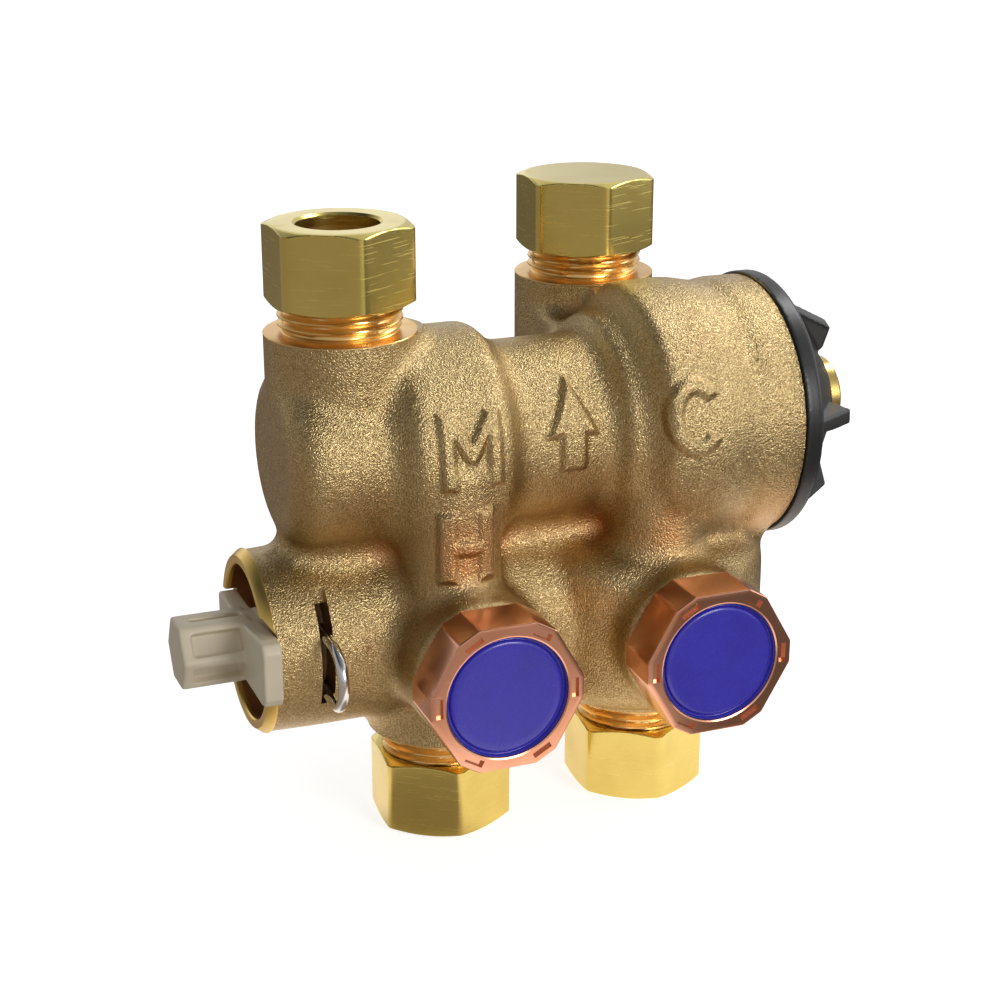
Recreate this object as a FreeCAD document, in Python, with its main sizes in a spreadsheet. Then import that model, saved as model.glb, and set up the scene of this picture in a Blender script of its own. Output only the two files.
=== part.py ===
import FreeCAD, Part
import math
import os
import Sketcher

os.makedirs("parts", exist_ok=True)
doc = FreeCAD.newDocument("MixingValve")
sheet = doc.addObject("Spreadsheet::Sheet", "Sizes")
Vector = FreeCAD.Vector


# A length or angle together with the sheet formula that drives it
class Size:
    def __init__(self, value, text):
        self.value = value
        self.text = text

    def __add__(self, other):
        other = asSize(other)
        return Size(self.value + other.value, "(" + self.text + " + " + other.text + ")")

    def __sub__(self, other):
        other = asSize(other)
        return Size(self.value - other.value, "(" + self.text + " - " + other.text + ")")

    def __mul__(self, other):
        other = asSize(other)
        return Size(self.value * other.value, "(" + self.text + " * " + other.text + ")")

    def __truediv__(self, other):
        other = asSize(other)
        return Size(self.value / other.value, "(" + self.text + " / " + other.text + ")")

    def __neg__(self):
        return Size(-self.value, "(-" + self.text + ")")

    def __radd__(self, other):
        return asSize(other) + self

    def __rsub__(self, other):
        return asSize(other) - self


def asSize(number):
    if isinstance(number, Size):
        return number
    return Size(float(number), "(" + repr(float(number)) + ")")


# Driving sizes in millimetres and degrees, one row of the sheet each
table = [
    ("inletSpacing", 60.8), ("barrelPlane", 4.0), ("upperAxis", 110.4), ("lowerAxis", 58.9),
    ("outletBack", 25.0), ("branchPast", 1.8), ("branchBack", 44.8), ("rimRise", 33.3), ("cutSpare", 1.0),
    # compression unions, measured from the machined rim of the port outwards
    ("rimRadius", 20.4), ("rimDepth", 2.2), ("threadRadius", 16.6), ("threadDepth", 1.3),
    ("threadPitch", 2.31), ("spigotLength", 20.6), ("threadShown", 7.2), ("nutPast", 8.0), ("tipBevel", 0.6),
    ("nutFlats", 36.0), ("nutTurned", 20.35), ("nutChamfer", 2.6), ("pipeRadius", 11.0), ("pipeGap", 0.1),
    ("nutWall", 3.4), ("oliveLength", 8.0), ("oliveThickness", 2.1), ("waterwayRadius", 9.5),
    ("blankDiscThickness", 2.0), ("fitGap", 0.05), ("looseGap", 0.2), ("sealGap", 0.02),
    # turns of the four union nuts about their own axes
    ("outletNutTurn", 30.65), ("blankNutTurn", 26.0), ("hotNutTurn", 26.0), ("coldNutTurn", 26.8),
    # upper barrel, along the barrel from the hot inlet
    ("upperLeftEnd", -45.0), ("upperRadius", 25.4), ("upperEndRound", 9.0), ("bulgeStart", -19.0),
    ("bulgeRise", 6.0), ("bulgeRadius", 31.4), ("bulgeLength", 36.0), ("neckLength", 26.5),
    ("stepRadius", 30.6), ("stepRise", 3.2), ("stepLength", 6.7), ("coldRise", 5.8),
    ("coldRadius", 38.0), ("coldLength", 27.0), ("collarRise", 2.2), ("collarRadius", 37.0),
    ("collarLength", 12.1), ("bulgeRound", 4.0), ("stepRound", 1.6), ("webLeft", -33.0), ("webRight", 85.0),
    ("webHalf", 12.0), ("padFront", 16.0), ("padRise", 24.6),
    # lower barrel
    ("lowerLeftEnd", -54.7), ("lowerRadius", 25.4), ("chamberRadius", 36.5), ("chamberBack", 1.5),
    ("chamberBelow", 26.0), ("chamberAbove", 21.0), ("chamberRound", 10.0), ("knobRelief", 0.8),
    ("reliefLength", 9.0),
    ("mouthRadius", 24.9), ("mouthLength", 3.0), ("mouthChamfer", 1.2), ("mouthBore", 21.3),
    ("mouthDepth", 7.6), ("plugBore", 17.0), ("plugBoreSpare", 4.0),
    # front bosses that hold the check valves
    ("frontAxis", 57.5), ("frontFace", 53.0), ("capLength", 14.5), ("capFlats", 40.0),
    ("capCorners", 42.6), ("capChamfer", 0.6), ("capThread", 17.0), ("bossRadius", 20.4),
    ("bossGap", 0.4), ("checkBore", 13.0), ("checkBoreBack", 10.0), ("capWeb", 4.5),
    ("discRecess", 2.0), ("discRadius", 16.7), ("discDome", 1.0), ("discEdge", 1.1),
    ("slotLength", 5.2), ("slotWidth", 1.3), ("slotDepth", 1.2), ("slotPlace", 18.6),
    # hot and cold ways that rise from the front bosses
    ("riserAcross", -2.0), ("riserFront", 16.0), ("riserRadius", 13.5), ("riserBore", 7.0),
    # upper bore
    ("sleeveBore", 19.0), ("mixedBore", 15.0), ("endWall", 9.0), ("sleeveStart", -14.0),
    ("hotRingHalf", 9.0), ("hotRingRadius", 25.0), ("coldBore", 29.0), ("coldBoreInset", 1.0),
    # check cartridges, along the boss axis from the port plane forwards
    ("cageBack", 10.0), ("seatThickness", 3.0), ("seatBore", 6.5), ("cageBore", 11.0),
    ("cageWindowInset", 2.0), ("cageWindowLength", 12.0), ("cageWindowWidth", 9.0),
    ("guideReach", 21.0), ("guideThickness", 2.5), ("guideHoleRing", 7.0), ("guideHole", 2.0),
    ("cageNeck", 8.0), ("cageEndThickness", 3.0), ("poppetRadius", 8.8), ("poppetThickness", 2.4),
    ("stemRadius", 2.0), ("stemShown", 2.0), ("checkSpringRadius", 5.0),
    ("checkSpringWire", 0.9), ("checkSpringTurns", 5.0), ("cageSealInset", 6.5),
    ("smallSealWire", 2.0), ("strainerWall", 0.8), ("strainerWindow", 5.0), ("strainerRim", 2.0),
    # flushing plug and its spring clip
    ("plugRadius", 16.95), ("plugLength", 23.0), ("barShown", 1.8),
    ("barThickness", 5.0), ("notchGap", 0.3), ("barHeight", 15.0), ("barFront", 26.5), ("barBack", 27.0),
    ("barRound", 2.0), ("barHub", 9.0), ("stubLength", 17.1), ("stubFlats", 15.0), ("stubTurn", 9.0),
    ("pocketDepth", 1.3), ("pocketWidth", 4.6), ("pocketLength", 10.5), ("plugSealWire", 2.6),
    ("plugSealInset", 4.0), ("plugSealStep", 5.0), ("clipInset", 16.4), ("clipWire", 3.0),
    ("clipHalf", 8.2), ("clipFront", 34.5), ("clipBack", 20.0), ("clipGap", 0.3),
    ("slotHigh", 15.0), ("slotLow", 11.0), ("runOut", 6.5), ("runOutDeep", 11.8), ("runOutShallow", 2.0),
    # thermostatic cartridge, along the upper barrel
    ("shuttleRadius", 12.95), ("hotSeat", 3.0),
    ("portGap", 2.0), ("shuttleLength", 56.0), ("shuttleBore", 10.0), ("webInset", 15.0),
    ("webThickness", 3.0), ("webHoleRing", 8.1), ("webHole", 1.4), ("seatRingLength", 5.0),
    ("seatRingBore", 9.0), ("sleeveFlangeBore", 8.3), ("sleeveFlange", 2.0),
    ("hotWindowWidth", 9.0), ("coldWindowWidth", 9.0), ("sleeveSealWire", 2.5),
    ("sealLeftInset", 2.2), ("sealMiddleInset", 5.0), ("sealRightInset", 6.0), ("capsuleLength", 48.0),
    ("capsuleRadius", 6.6), ("capsuleShoulder", 4.0), ("elementStem", 3.4), ("stemLength", 22.0),
    ("capsuleEdge", 1.0),
    ("pinRadius", 2.0), ("noseShown", 5.0), ("returnWire", 1.4), ("returnRadius", 9.2),
    ("returnTurns", 6.0), ("carrierGap", 1.0), ("carrierRadius", 11.95), ("carrierWall", 2.0),
    ("noseRadius", 4.5), ("plungerRadius", 7.8), ("overloadWire", 1.5), ("overloadRadius", 6.4),
    ("overloadTurns", 4.0), ("carrierBore", 8.0), ("carrierHead", 5.0), ("carrierLength", 19.0),
    ("spindleThread", 5.0), ("spindleShown", 3.0), ("carrierPlay", 4.0), ("collarThickness", 2.6),
    ("spindleCollar", 9.0), ("spindleRadius", 6.0),
    # headwork and temperature knob
    ("headLength", 19.1), ("headNose", 16.0), ("headBore", 12.0),
    ("hubRadius", 14.0), ("hubLength", 9.4), ("headSealInset", 4.0), ("headSealWire", 2.6),
    ("spindleSealInset", 4.4), ("knobGap", 0.3), ("knobRim", 37.9), ("knobRimLength", 5.4),
    ("rimBevel", 1.0), ("coneStart", 34.5), ("coneEnd", 14.0), ("coneLength", 16.2),
    ("knobWall", 2.6), ("knobBoss", 9.5), ("finBase", 36.2), ("finTip", 27.6), ("finInner", 20.0),
    ("finDrop", 2.2), ("finWidth", 4.2), ("finTurn", -3.0), ("knobScrewRadius", 11.0),
    ("screwHead", 5.0), ("screwShank", 3.0), ("screwDepth", 8.0), ("hexSocket", 3.0), ("screwEdge", 0.8),
]
for row, (name, value) in enumerate(table, start=1):
    sheet.set("A" + str(row), name)
    sheet.set("B" + str(row), str(value))
    sheet.setAlias("B" + str(row), name)
doc.recompute()


# The named value as a Size, tied to its cell, or the place worked out from such values
places = {}


def size(name):
    if name in places:
        return places[name]
    return Size(float(sheet.get(name)), "Sizes." + name)


# A named place is another place or size with further sizes added or taken away
def place(name, start, *steps):
    total = size(start)
    for step in steps:
        total = total - size(step[1:]) if step[0] == "-" else total + size(step)
    places[name] = total


place("branchAcross", "inletSpacing", "branchPast")
place("nutHeight", "spigotLength", "-threadShown", "nutPast")
place("bulgeEnd", "bulgeStart", "bulgeLength")
place("neckEnd", "bulgeEnd", "neckLength")
place("stepEnd", "neckEnd", "stepLength")
place("coldStart", "stepEnd", "coldRise")
place("coldEnd", "coldStart", "coldLength")
place("collarEnd", "coldEnd", "collarLength")
place("mixedEnd", "upperLeftEnd", "endWall")
place("coldBoreStart", "coldStart", "-coldBoreInset")
# cartridge
place("shuttleStart", "hotSeat", "portGap")
place("shuttleEnd", "shuttleStart", "shuttleLength")
place("seatStart", "shuttleEnd", "portGap")
place("sleeveEnd", "seatStart", "seatRingLength")
place("sealLeft", "sleeveStart", "sealLeftInset")
place("sealMiddle", "hotRingHalf", "sealMiddleInset")
place("sealRight", "coldBoreStart", "-sealRightInset")
place("webPlace", "shuttleStart", "webInset")
place("capsuleStart", "webPlace", "-capsuleLength")
place("stemReach", "webPlace", "stemLength")
place("carrierStart", "sleeveEnd", "carrierGap")
place("pinEnd", "carrierStart", "-noseShown")
place("carrierEnd", "carrierStart", "carrierLength")
place("carrierInner", "carrierEnd", "-carrierHead")
place("spindleStart", "carrierInner", "-spindleShown")
place("collarStart", "carrierEnd", "carrierPlay")
place("headStart", "collarEnd", "-headLength")
place("headSealPlace", "headStart", "headSealInset")
place("hubEnd", "collarEnd", "hubLength")
place("spindleSealPlace", "collarEnd", "spindleSealInset")
# knob
place("knobStart", "collarEnd", "knobGap")
place("rimEnd", "knobStart", "knobRimLength")
place("knobEnd", "rimEnd", "coneLength")
place("finTop", "knobEnd", "-finDrop")
place("knobScrewEnd", "knobEnd", "screwHead")
# flushing plug and clip
place("barOuter", "lowerLeftEnd", "-barShown")
place("barInner", "barOuter", "barThickness")
place("plugHead", "lowerLeftEnd", "mouthDepth", "fitGap", "fitGap")
place("plugTail", "plugHead", "plugLength")
place("plugBoreEnd", "plugTail", "plugBoreSpare")
place("plugSealTwo", "plugTail", "-plugSealInset")
place("plugSealOne", "plugSealTwo", "-plugSealStep")
place("clipPlace", "lowerLeftEnd", "clipInset")
place("stubEnd", "barOuter", "-stubLength")
# check valves, forwards from the port plane
place("cageSeat", "cageBack", "seatThickness")
place("cageWindowStart", "cageSeat", "cageWindowInset")
place("cageWindowEnd", "cageWindowStart", "cageWindowLength")
place("guidePlace", "cageSeat", "guideReach")
place("guideEnd", "guidePlace", "guideThickness")
place("stemEnd", "guideEnd", "stemShown")
place("capInner", "frontFace", "-discRecess", "-capWeb")
place("cageSealPlace", "capInner", "-cageSealInset")


# Where a rounding of the given radius leaves the two sides of a corner, and its centre
def cornerArc(corner, before, after, radius):
    one = (before - corner).normalize()
    two = (after - corner).normalize()
    half = one.getAngle(two) / 2
    reach = radius / math.tan(half)
    middle = (one + two).normalize() * (radius / math.sin(half))
    return corner + one * reach, corner + two * reach, corner + middle


def fix(sketch, geometry, point, place, label):
    for kind, length in zip(("DistanceX", "DistanceY"), place):
        number = sketch.addConstraint(Sketcher.Constraint(kind, -1, 1, geometry, point, length.value))
        name = kind[-1].lower() + label
        sketch.renameConstraint(number, name)
        sketch.setExpression("Constraints." + name, length.text)


# A closed outline. Each corner is (across, up) or (across, up, rounding), and every
# one of these is tied to its formula in the sheet.
def outline(body, role, points, name):
    sketch = body.newObject("Sketcher::SketchObject", name)
    plane = [feature for feature in body.Origin.OriginFeatures if feature.Role == role][0]
    sketch.AttachmentSupport = [(plane, "")]
    sketch.MapMode = "FlatFace"
    points = [[asSize(item) for item in point] for point in points]
    corners = [Vector(point[0].value, point[1].value, 0) for point in points]
    count = len(points)
    starts = list(corners)
    ends = list(corners)
    arcs = {}
    for index, point in enumerate(points):
        if len(point) == 3:
            before, after = corners[index - 1], corners[(index + 1) % count]
            ends[index], starts[index], centre = cornerArc(corners[index], before, after, point[2].value)
            arcs[index] = centre
    for index in range(count):
        sketch.addGeometry(Part.LineSegment(starts[index], ends[(index + 1) % count]), False)
    for index in range(count):
        line, last = index, (index - 1) % count
        if index not in arcs:
            sketch.addConstraint(Sketcher.Constraint("Coincident", last, 2, line, 1))
            fix(sketch, line, 1, points[index], str(index))
            continue
        centre = arcs[index]
        radius = points[index][2]
        into, out = ends[index] - centre, starts[index] - centre
        first, second = math.atan2(into.y, into.x), math.atan2(out.y, out.x)
        forwards = (second - first) % (2 * math.pi) < math.pi
        span = (first, second) if forwards else (second, first)
        circle = Part.Circle(centre, Vector(0, 0, 1), radius.value)
        arc = sketch.addGeometry(Part.ArcOfCircle(circle, span[0], span[1]), False)
        sketch.addConstraint(Sketcher.Constraint("Tangent", last, 2, arc, 1 if forwards else 2))
        sketch.addConstraint(Sketcher.Constraint("Tangent", line, 1, arc, 2 if forwards else 1))
        number = sketch.addConstraint(Sketcher.Constraint("Radius", arc, radius.value))
        sketch.renameConstraint(number, "round" + str(index))
        sketch.setExpression("Constraints.round" + str(index), radius.text)
        corner = sketch.addGeometry(Part.Point(corners[index]), True)
        sketch.addConstraint(Sketcher.Constraint("PointOnObject", corner, 1, last))
        sketch.addConstraint(Sketcher.Constraint("PointOnObject", corner, 1, line))
        fix(sketch, corner, 1, points[index], str(index))
    return sketch


# Moves an object to a place and turns it, with the place tied to the sheet
def put(thing, x=0, y=0, z=0, axis=Vector(1, 0, 0), turn=0):
    spot = [asSize(x), asSize(y), asSize(z)]
    turn = asSize(turn)
    thing.Placement = FreeCAD.Placement(Vector(*[length.value for length in spot]),
                                        FreeCAD.Rotation(axis, turn.value))
    for letter, length in zip("xyz", spot):
        thing.setExpression("Placement.Base." + letter, length.text)
    return thing


def newBody(label):
    body = doc.addObject("PartDesign::Body", label)
    body.Label = label
    return body


def swapped(point):
    return (point[1], point[0]) + tuple(point[2:])


# A turned piece: points are (along the axis, radius) with an optional rounding
def turned(label, direction, points, x=0, y=0, z=0, axis=Vector(1, 0, 0), turn=0):
    body = newBody(label)
    if direction == "X":
        sketch = outline(body, "XZ_Plane", points, label + "Profile")
        line = "H_Axis"
    elif direction == "Y":
        sketch = outline(body, "XY_Plane", [swapped(point) for point in points], label + "Profile")
        line = "V_Axis"
    else:
        sketch = outline(body, "XZ_Plane", [swapped(point) for point in points], label + "Profile")
        line = "V_Axis"
    feature = body.newObject("PartDesign::Revolution", label + "Turned")
    feature.Profile = sketch
    feature.ReferenceAxis = (sketch, [line])
    feature.Angle = 360
    put(body, x, y, z, axis, turn)
    return body


# A pad or pocket from a closed outline, on both sides of its plane or on one
def extruded(body, role, points, length, name, cut=False, both=True, backwards=False):
    sketch = outline(body, role, points, name + "Sketch")
    feature = body.newObject("PartDesign::Pocket" if cut else "PartDesign::Pad", name)
    feature.Profile = sketch
    feature.setExpression("Length", asSize(length).text)
    feature.Midplane = both
    feature.Reversed = backwards
    return feature


# Copies a feature evenly around one of the body's own axes
def around(body, feature, role, count, name):
    line = [item for item in body.Origin.OriginFeatures if item.Role == role][0]
    pattern = body.newObject("PartDesign::PolarPattern", name)
    pattern.Originals = [feature]
    pattern.Axis = (line, [""])
    pattern.Angle = 360
    pattern.Occurrences = count
    body.Tip = pattern
    return pattern


sideTurns = {"X": (Vector(0, 1, 0), 90), "Y": (Vector(1, 0, 0), -90), "-Y": (Vector(1, 0, 0), 90),
             "Z": (Vector(0, 0, 1), 0), "-Z": (Vector(1, 0, 0), 180), "-X": (Vector(0, 1, 0), -90)}


def cylinder(label, direction, radius, length, x=0, y=0, z=0):
    thing = doc.addObject("Part::Cylinder", label)
    thing.setExpression("Radius", asSize(radius).text)
    thing.setExpression("Height", asSize(length).text)
    put(thing, x, y, z, *sideTurns[direction])
    return thing


# A box given by its centre and its three full lengths
def box(label, long, wide, high, x=0, y=0, z=0, axis=Vector(1, 0, 0), turn=0):
    body = newBody(label)
    half = asSize(wide) / 2
    reach = asSize(long) / 2
    corners = [(-reach, -half), (reach, -half), (reach, half), (-reach, half)]
    extruded(body, "XY_Plane", corners, high, label + "Block")
    put(body, x, y, z, axis, turn)
    return body


def joined(label, things):
    thing = doc.addObject("Part::MultiFuse", label)
    thing.Label = label
    thing.Shapes = things
    return thing


def cutFrom(label, base, tools):
    tool = tools[0]
    if len(tools) > 1:
        tool = joined(label + "Tools", tools)
    thing = doc.addObject("Part::Cut", label)
    thing.Label = label
    thing.Base = base
    thing.Tool = tool
    return thing


def shared(label, one, other):
    thing = doc.addObject("Part::Common", label)
    thing.Label = label
    thing.Base = one
    thing.Tool = other
    return thing


nodes = []


def keep(thing):
    nodes.append(thing)
    return thing


# Places that several pieces use
plane = size("barrelPlane")
upper = size("upperAxis")
lower = size("lowerAxis")
spacing = size("inletSpacing")
gap = size("fitGap")
looseGap = size("looseGap")
threadRadius = size("threadRadius")
spare = size("cutSpare")
pipeRadius = size("pipeRadius") + size("pipeGap")
unionReach = size("threadShown") + size("nutHeight")
topRim = upper + size("rimRise")
bottomRim = unionReach
outletPlace = (-size("outletBack"), plane)
branchPlace = (size("branchAcross"), size("branchBack"))
hotPlace = (asSize(0), asSize(0))
coldPlace = (spacing, asSize(0))


# Thread on a spigot, in shares of its pitch: plain lead, crest and foot of each ridge
threadRidges = 3
threadLead = 0.35
crestStart = 0.32
crestEnd = 0.46
ridgeFoot = 0.78
# Olive, in shares of its length and thickness
olivePeak = 0.42
oliveFlat = 0.16
coneMouth = 0.2
oliveEdge = 0.2
# Height of a nut's turned bevel for each millimetre of its depth
bevelSlope = 0.42
# Side of a hexagon bar for each millimetre across its flats
hexagonSide = 1 / math.sqrt(3.0)


# The machined end of a port: rim, then the threaded spigot with its olive cone.
# Lengths run outwards from the rim.
def portEnd(name, place, rim, upward, plain=False):
    depth = size("threadDepth")
    pitch = size("threadPitch")
    tip = size("spigotLength")
    root = threadRadius - depth
    points = [(-size("rimDepth"), asSize(0)), (-size("rimDepth"), size("rimRadius")),
              (asSize(0), size("rimRadius")), (asSize(0), root)]
    for number in range(threadRidges):
        start = pitch * (number + threadLead)
        points += [(start, root), (start + pitch * crestStart, threadRadius),
                   (start + pitch * crestEnd, threadRadius), (start + pitch * ridgeFoot, root)]
    bevel = size("tipBevel")
    hidden = pitch * (threadRidges + threadLead)
    points += [(hidden, root), (hidden, threadRadius), (tip - bevel, threadRadius),
               (tip, threadRadius - bevel), (tip, asSize(0))]
    body = turned(name, "Z", points, place[0], place[1], rim, turn=0 if upward else 180)
    return body


# The bore of a port: pipe socket, olive cone and the narrower waterway behind the stop
def portBore(name, place, rim, upward, depth, blank=False):
    tip = size("spigotLength")
    if blank:
        points = [(-depth, asSize(0)), (-depth, size("waterwayRadius")),
                  (tip + spare, size("waterwayRadius")), (tip + spare, asSize(0))]
    else:
        cone = oliveStart() - gap
        wide = pipeRadius + size("oliveThickness") + gap * 2
        points = [(-depth, asSize(0)), (-depth, size("waterwayRadius")),
                  (asSize(0), size("waterwayRadius")), (asSize(0), pipeRadius),
                  (cone, pipeRadius), (cone, pipeRadius + size("oliveThickness") * oliveEdge + gap * 2),
                  (oliveMiddle(), wide), (tip + spare, wide), (tip + spare, asSize(0))]
    return turned(name, "Z", points, place[0], place[1], rim, turn=0 if upward else 180)


def oliveEnd():
    return unionReach - size("nutWall")


def oliveStart():
    return oliveEnd() - size("oliveLength")


def oliveMiddle():
    return oliveStart() + size("oliveLength") * olivePeak


# Union nut: a hexagon bar turned at both ends, bored for its thread and its pipe
def unionNut(name, place, rim, upward, rotation, blank=False):
    height = size("nutHeight")
    flats = size("nutFlats")
    turnedRadius = size("nutTurned")
    chamfer = size("nutChamfer")
    start = size("threadShown")
    end = unionReach
    cavity = threadRadius + gap
    rise = chamfer * bevelSlope
    if blank:
        inner = [(size("spigotLength") + size("blankDiscThickness"), cavity),
                 (size("spigotLength") + size("blankDiscThickness"), asSize(0))]
        mouth = [(end, asSize(0))]
    else:
        coneFoot = oliveEnd() + gap
        coneTop = pipeRadius + size("oliveThickness") * oliveEdge + gap * 2
        coneWide = pipeRadius + size("oliveThickness") + looseGap
        inner = [(size("spigotLength") + looseGap, cavity),
                 (oliveMiddle() + size("oliveLength") * coneMouth, coneWide),
                 (coneFoot, coneTop), (coneFoot, pipeRadius)]
        mouth = [(end, pipeRadius)]
    points = [(start, cavity)] + inner + mouth + [
        (end, turnedRadius - chamfer), (end - rise, turnedRadius), (start + rise, turnedRadius),
        (start, turnedRadius - chamfer)]
    form = turned(name + "Turned", "Z", points)
    bar = doc.addObject("Part::Prism", name + "Bar")
    bar.Polygon = 6
    bar.setExpression("Circumradius", (flats * hexagonSide).text)
    bar.setExpression("Height", height.text)
    put(bar, 0, 0, start, Vector(0, 0, 1), rotation if upward else -rotation)
    nut = shared(name, form, bar)
    put(nut, place[0], place[1], rim, turn=0 if upward else 180)
    return keep(nut)


def olive(name, place, rim, upward):
    thick = size("oliveThickness")
    edge = pipeRadius + thick * oliveEdge
    crest = pipeRadius + thick
    points = [(oliveStart(), pipeRadius), (oliveStart(), edge), (oliveMiddle(), crest),
              (oliveMiddle() + size("oliveLength") * oliveFlat, crest), (oliveEnd(), edge),
              (oliveEnd(), pipeRadius)]
    return keep(turned(name, "Z", points, place[0], place[1], rim, turn=0 if upward else 180))


# Casting: two parallel barrels, four port columns, two front bosses and two risers
def valveBody():
    r = size
    axisRadius = r("upperRadius")
    bulge = r("bulgeRadius")
    soft = r("bulgeRound")
    profile = [
        (r("upperLeftEnd"), asSize(0)), (r("upperLeftEnd"), axisRadius, r("upperEndRound")),
        (r("bulgeStart"), axisRadius, soft), (r("bulgeStart") + r("bulgeRise"), bulge, soft),
        (r("bulgeEnd") - r("bulgeRise"), bulge, soft), (r("bulgeEnd"), axisRadius, soft),
        (r("neckEnd"), axisRadius, soft), (r("neckEnd") + r("stepRise"), r("stepRadius"), r("stepRound")),
        (r("stepEnd"), r("stepRadius"), r("stepRound")), (r("coldStart"), r("coldRadius"), soft),
        (r("coldEnd"), r("coldRadius"), r("stepRound")),
        (r("coldEnd") + r("collarRise"), r("collarRadius"), r("stepRound")),
        (r("collarEnd"), r("collarRadius")), (r("collarEnd"), asSize(0))]
    upperBarrel = turned("UpperBarrel", "X", profile, 0, plane, upper)
    mouth = r("lowerLeftEnd")
    lowerProfile = [
        (mouth, asSize(0)), (mouth, r("mouthRadius") - r("mouthChamfer")),
        (mouth + r("mouthChamfer"), r("mouthRadius")), (mouth + r("mouthLength"), r("mouthRadius")),
        (mouth + r("mouthLength"), r("lowerRadius")), (spacing, r("lowerRadius")),
        (spacing, asSize(0))]
    lowerBarrel = turned("LowerBarrel", "X", lowerProfile, 0, plane, lower)
    # the cold end is an upright round chamber around the inlet and its check valve
    foot = -r("chamberBelow")
    top = r("chamberAbove")
    wide = r("chamberRadius")
    chamber = turned("ColdChamber", "Z", [(foot, asSize(0)), (foot, wide, r("chamberRound")),
                                          (top, wide, r("chamberRound")), (top, asSize(0))],
                     spacing, r("chamberBack"), lower)

    solids = [upperBarrel, lowerBarrel, chamber]
    columns = [("Outlet", outletPlace, topRim, True, upper), ("Branch", branchPlace, topRim, True, upper),
               ("Hot", hotPlace, bottomRim, False, lower), ("Cold", coldPlace, bottomRim, False, lower)]
    for name, place, rim, upward, root in columns:
        start = root if upward else rim + r("rimDepth")
        length = (rim - r("rimDepth") - root) if upward else (root - rim - r("rimDepth"))
        solids.append(cylinder(name + "Column", "Z", r("rimRadius"), length, place[0], place[1], start))
        solids.append(portEnd(name + "End", place, rim, upward))
    # the branch stands behind the barrel on a short elbow
    elbow = cylinder("BranchArm", "Y", r("rimRadius"), branchPlace[1] - plane, branchPlace[0], plane, upper)
    corner = doc.addObject("Part::Sphere", "BranchCorner")
    corner.setExpression("Radius", r("rimRadius").text)
    put(corner, branchPlace[0], branchPlace[1], upper)
    solids += [elbow, corner]

    boss = r("frontFace") - r("capLength") - r("bossGap")
    spigotEnd = r("capInner") - r("bossGap")
    for name, across in (("Hot", hotPlace[0]), ("Cold", coldPlace[0])):
        solids.append(cylinder(name + "Boss", "-Y", r("bossRadius"), boss + plane, across, plane,
                               r("frontAxis")))
        solids.append(cylinder(name + "Spigot", "-Y", r("capThread"), spigotEnd, across, 0, r("frontAxis")))
        solids.append(cylinder(name + "Riser", "Z", r("riserRadius"), upper - r("frontAxis"),
                               across + r("riserAcross"), -r("riserFront"), r("frontAxis")))
    # web between the two barrels
    solids.append(box("BarrelWeb", r("webRight") - r("webLeft"), r("webHalf") * 2, upper - lower,
                      (r("webRight") + r("webLeft")) / 2, plane, (upper + lower) / 2))
    # pad that carries the rear branch column beside the cold chamber
    solids.append(box("BranchPad", r("coldEnd") - r("neckEnd"), r("branchBack") - r("padFront"), r("padRise"),
                      (r("coldEnd") + r("neckEnd")) / 2, (r("branchBack") + r("padFront")) / 2,
                      upper + r("padRise") / 2))
    casting = joined("Casting", solids)

    # bores
    tools = []
    depths = {"Outlet": topRim - upper, "Branch": topRim - upper,
              "Hot": r("frontAxis") - bottomRim, "Cold": r("frontAxis") - bottomRim}
    for name, place, rim, upward, root in columns:
        tools.append(portBore(name + "Bore", place, rim, upward, depths[name], blank=name == "Branch"))
    tools.append(cylinder("BranchArmBore", "Y", r("waterwayRadius"), branchPlace[1] - plane,
                          branchPlace[0], plane, upper))
    roundEnd = doc.addObject("Part::Sphere", "BranchBoreCorner")
    roundEnd.setExpression("Radius", r("waterwayRadius").text)
    put(roundEnd, branchPlace[0], branchPlace[1], upper)
    tools.append(roundEnd)
    for name, across in (("Hot", hotPlace[0]), ("Cold", coldPlace[0])):
        tools.append(cylinder(name + "CheckBore", "-Y", r("checkBore"), spigotEnd + r("checkBoreBack") + spare,
                              across, r("checkBoreBack"), r("frontAxis")))
        tools.append(cylinder(name + "RiserBore", "Z", r("riserBore"), upper - r("frontAxis"),
                              across + r("riserAcross"), -r("riserFront"), r("frontAxis")))
    upperBore = [
        (r("mixedEnd"), asSize(0)), (r("mixedEnd"), r("mixedBore")), (r("sleeveStart"), r("mixedBore")),
        (r("sleeveStart"), r("sleeveBore")), (-r("hotRingHalf"), r("sleeveBore")),
        (-r("hotRingHalf"), r("hotRingRadius")), (r("hotRingHalf"), r("hotRingRadius")),
        (r("hotRingHalf"), r("sleeveBore")), (r("coldBoreStart"), r("sleeveBore")),
        (r("coldBoreStart"), r("coldBore")), (r("collarEnd") + spare, r("coldBore")),
        (r("collarEnd") + spare, asSize(0))]
    tools.append(turned("UpperBore", "X", upperBore, 0, plane, upper))
    lowerBore = [
        (mouth - spare, asSize(0)), (mouth - spare, r("mouthBore") + r("mouthChamfer") + spare),
        (mouth + r("mouthChamfer"), r("mouthBore")),
        (mouth + r("mouthDepth"), r("mouthBore")), (mouth + r("mouthDepth"), r("plugBore")),
        (r("plugBoreEnd"), r("plugBore")), (r("plugBoreEnd"), r("waterwayRadius")),
        (asSize(0), r("waterwayRadius")), (asSize(0), asSize(0))]
    tools.append(turned("LowerBore", "X", lowerBore, 0, plane, lower))
    tools.append(cylinder("KnobRelief", "X", r("knobRim") + r("knobRelief"), r("reliefLength"),
                          r("collarEnd"), plane, upper))
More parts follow.
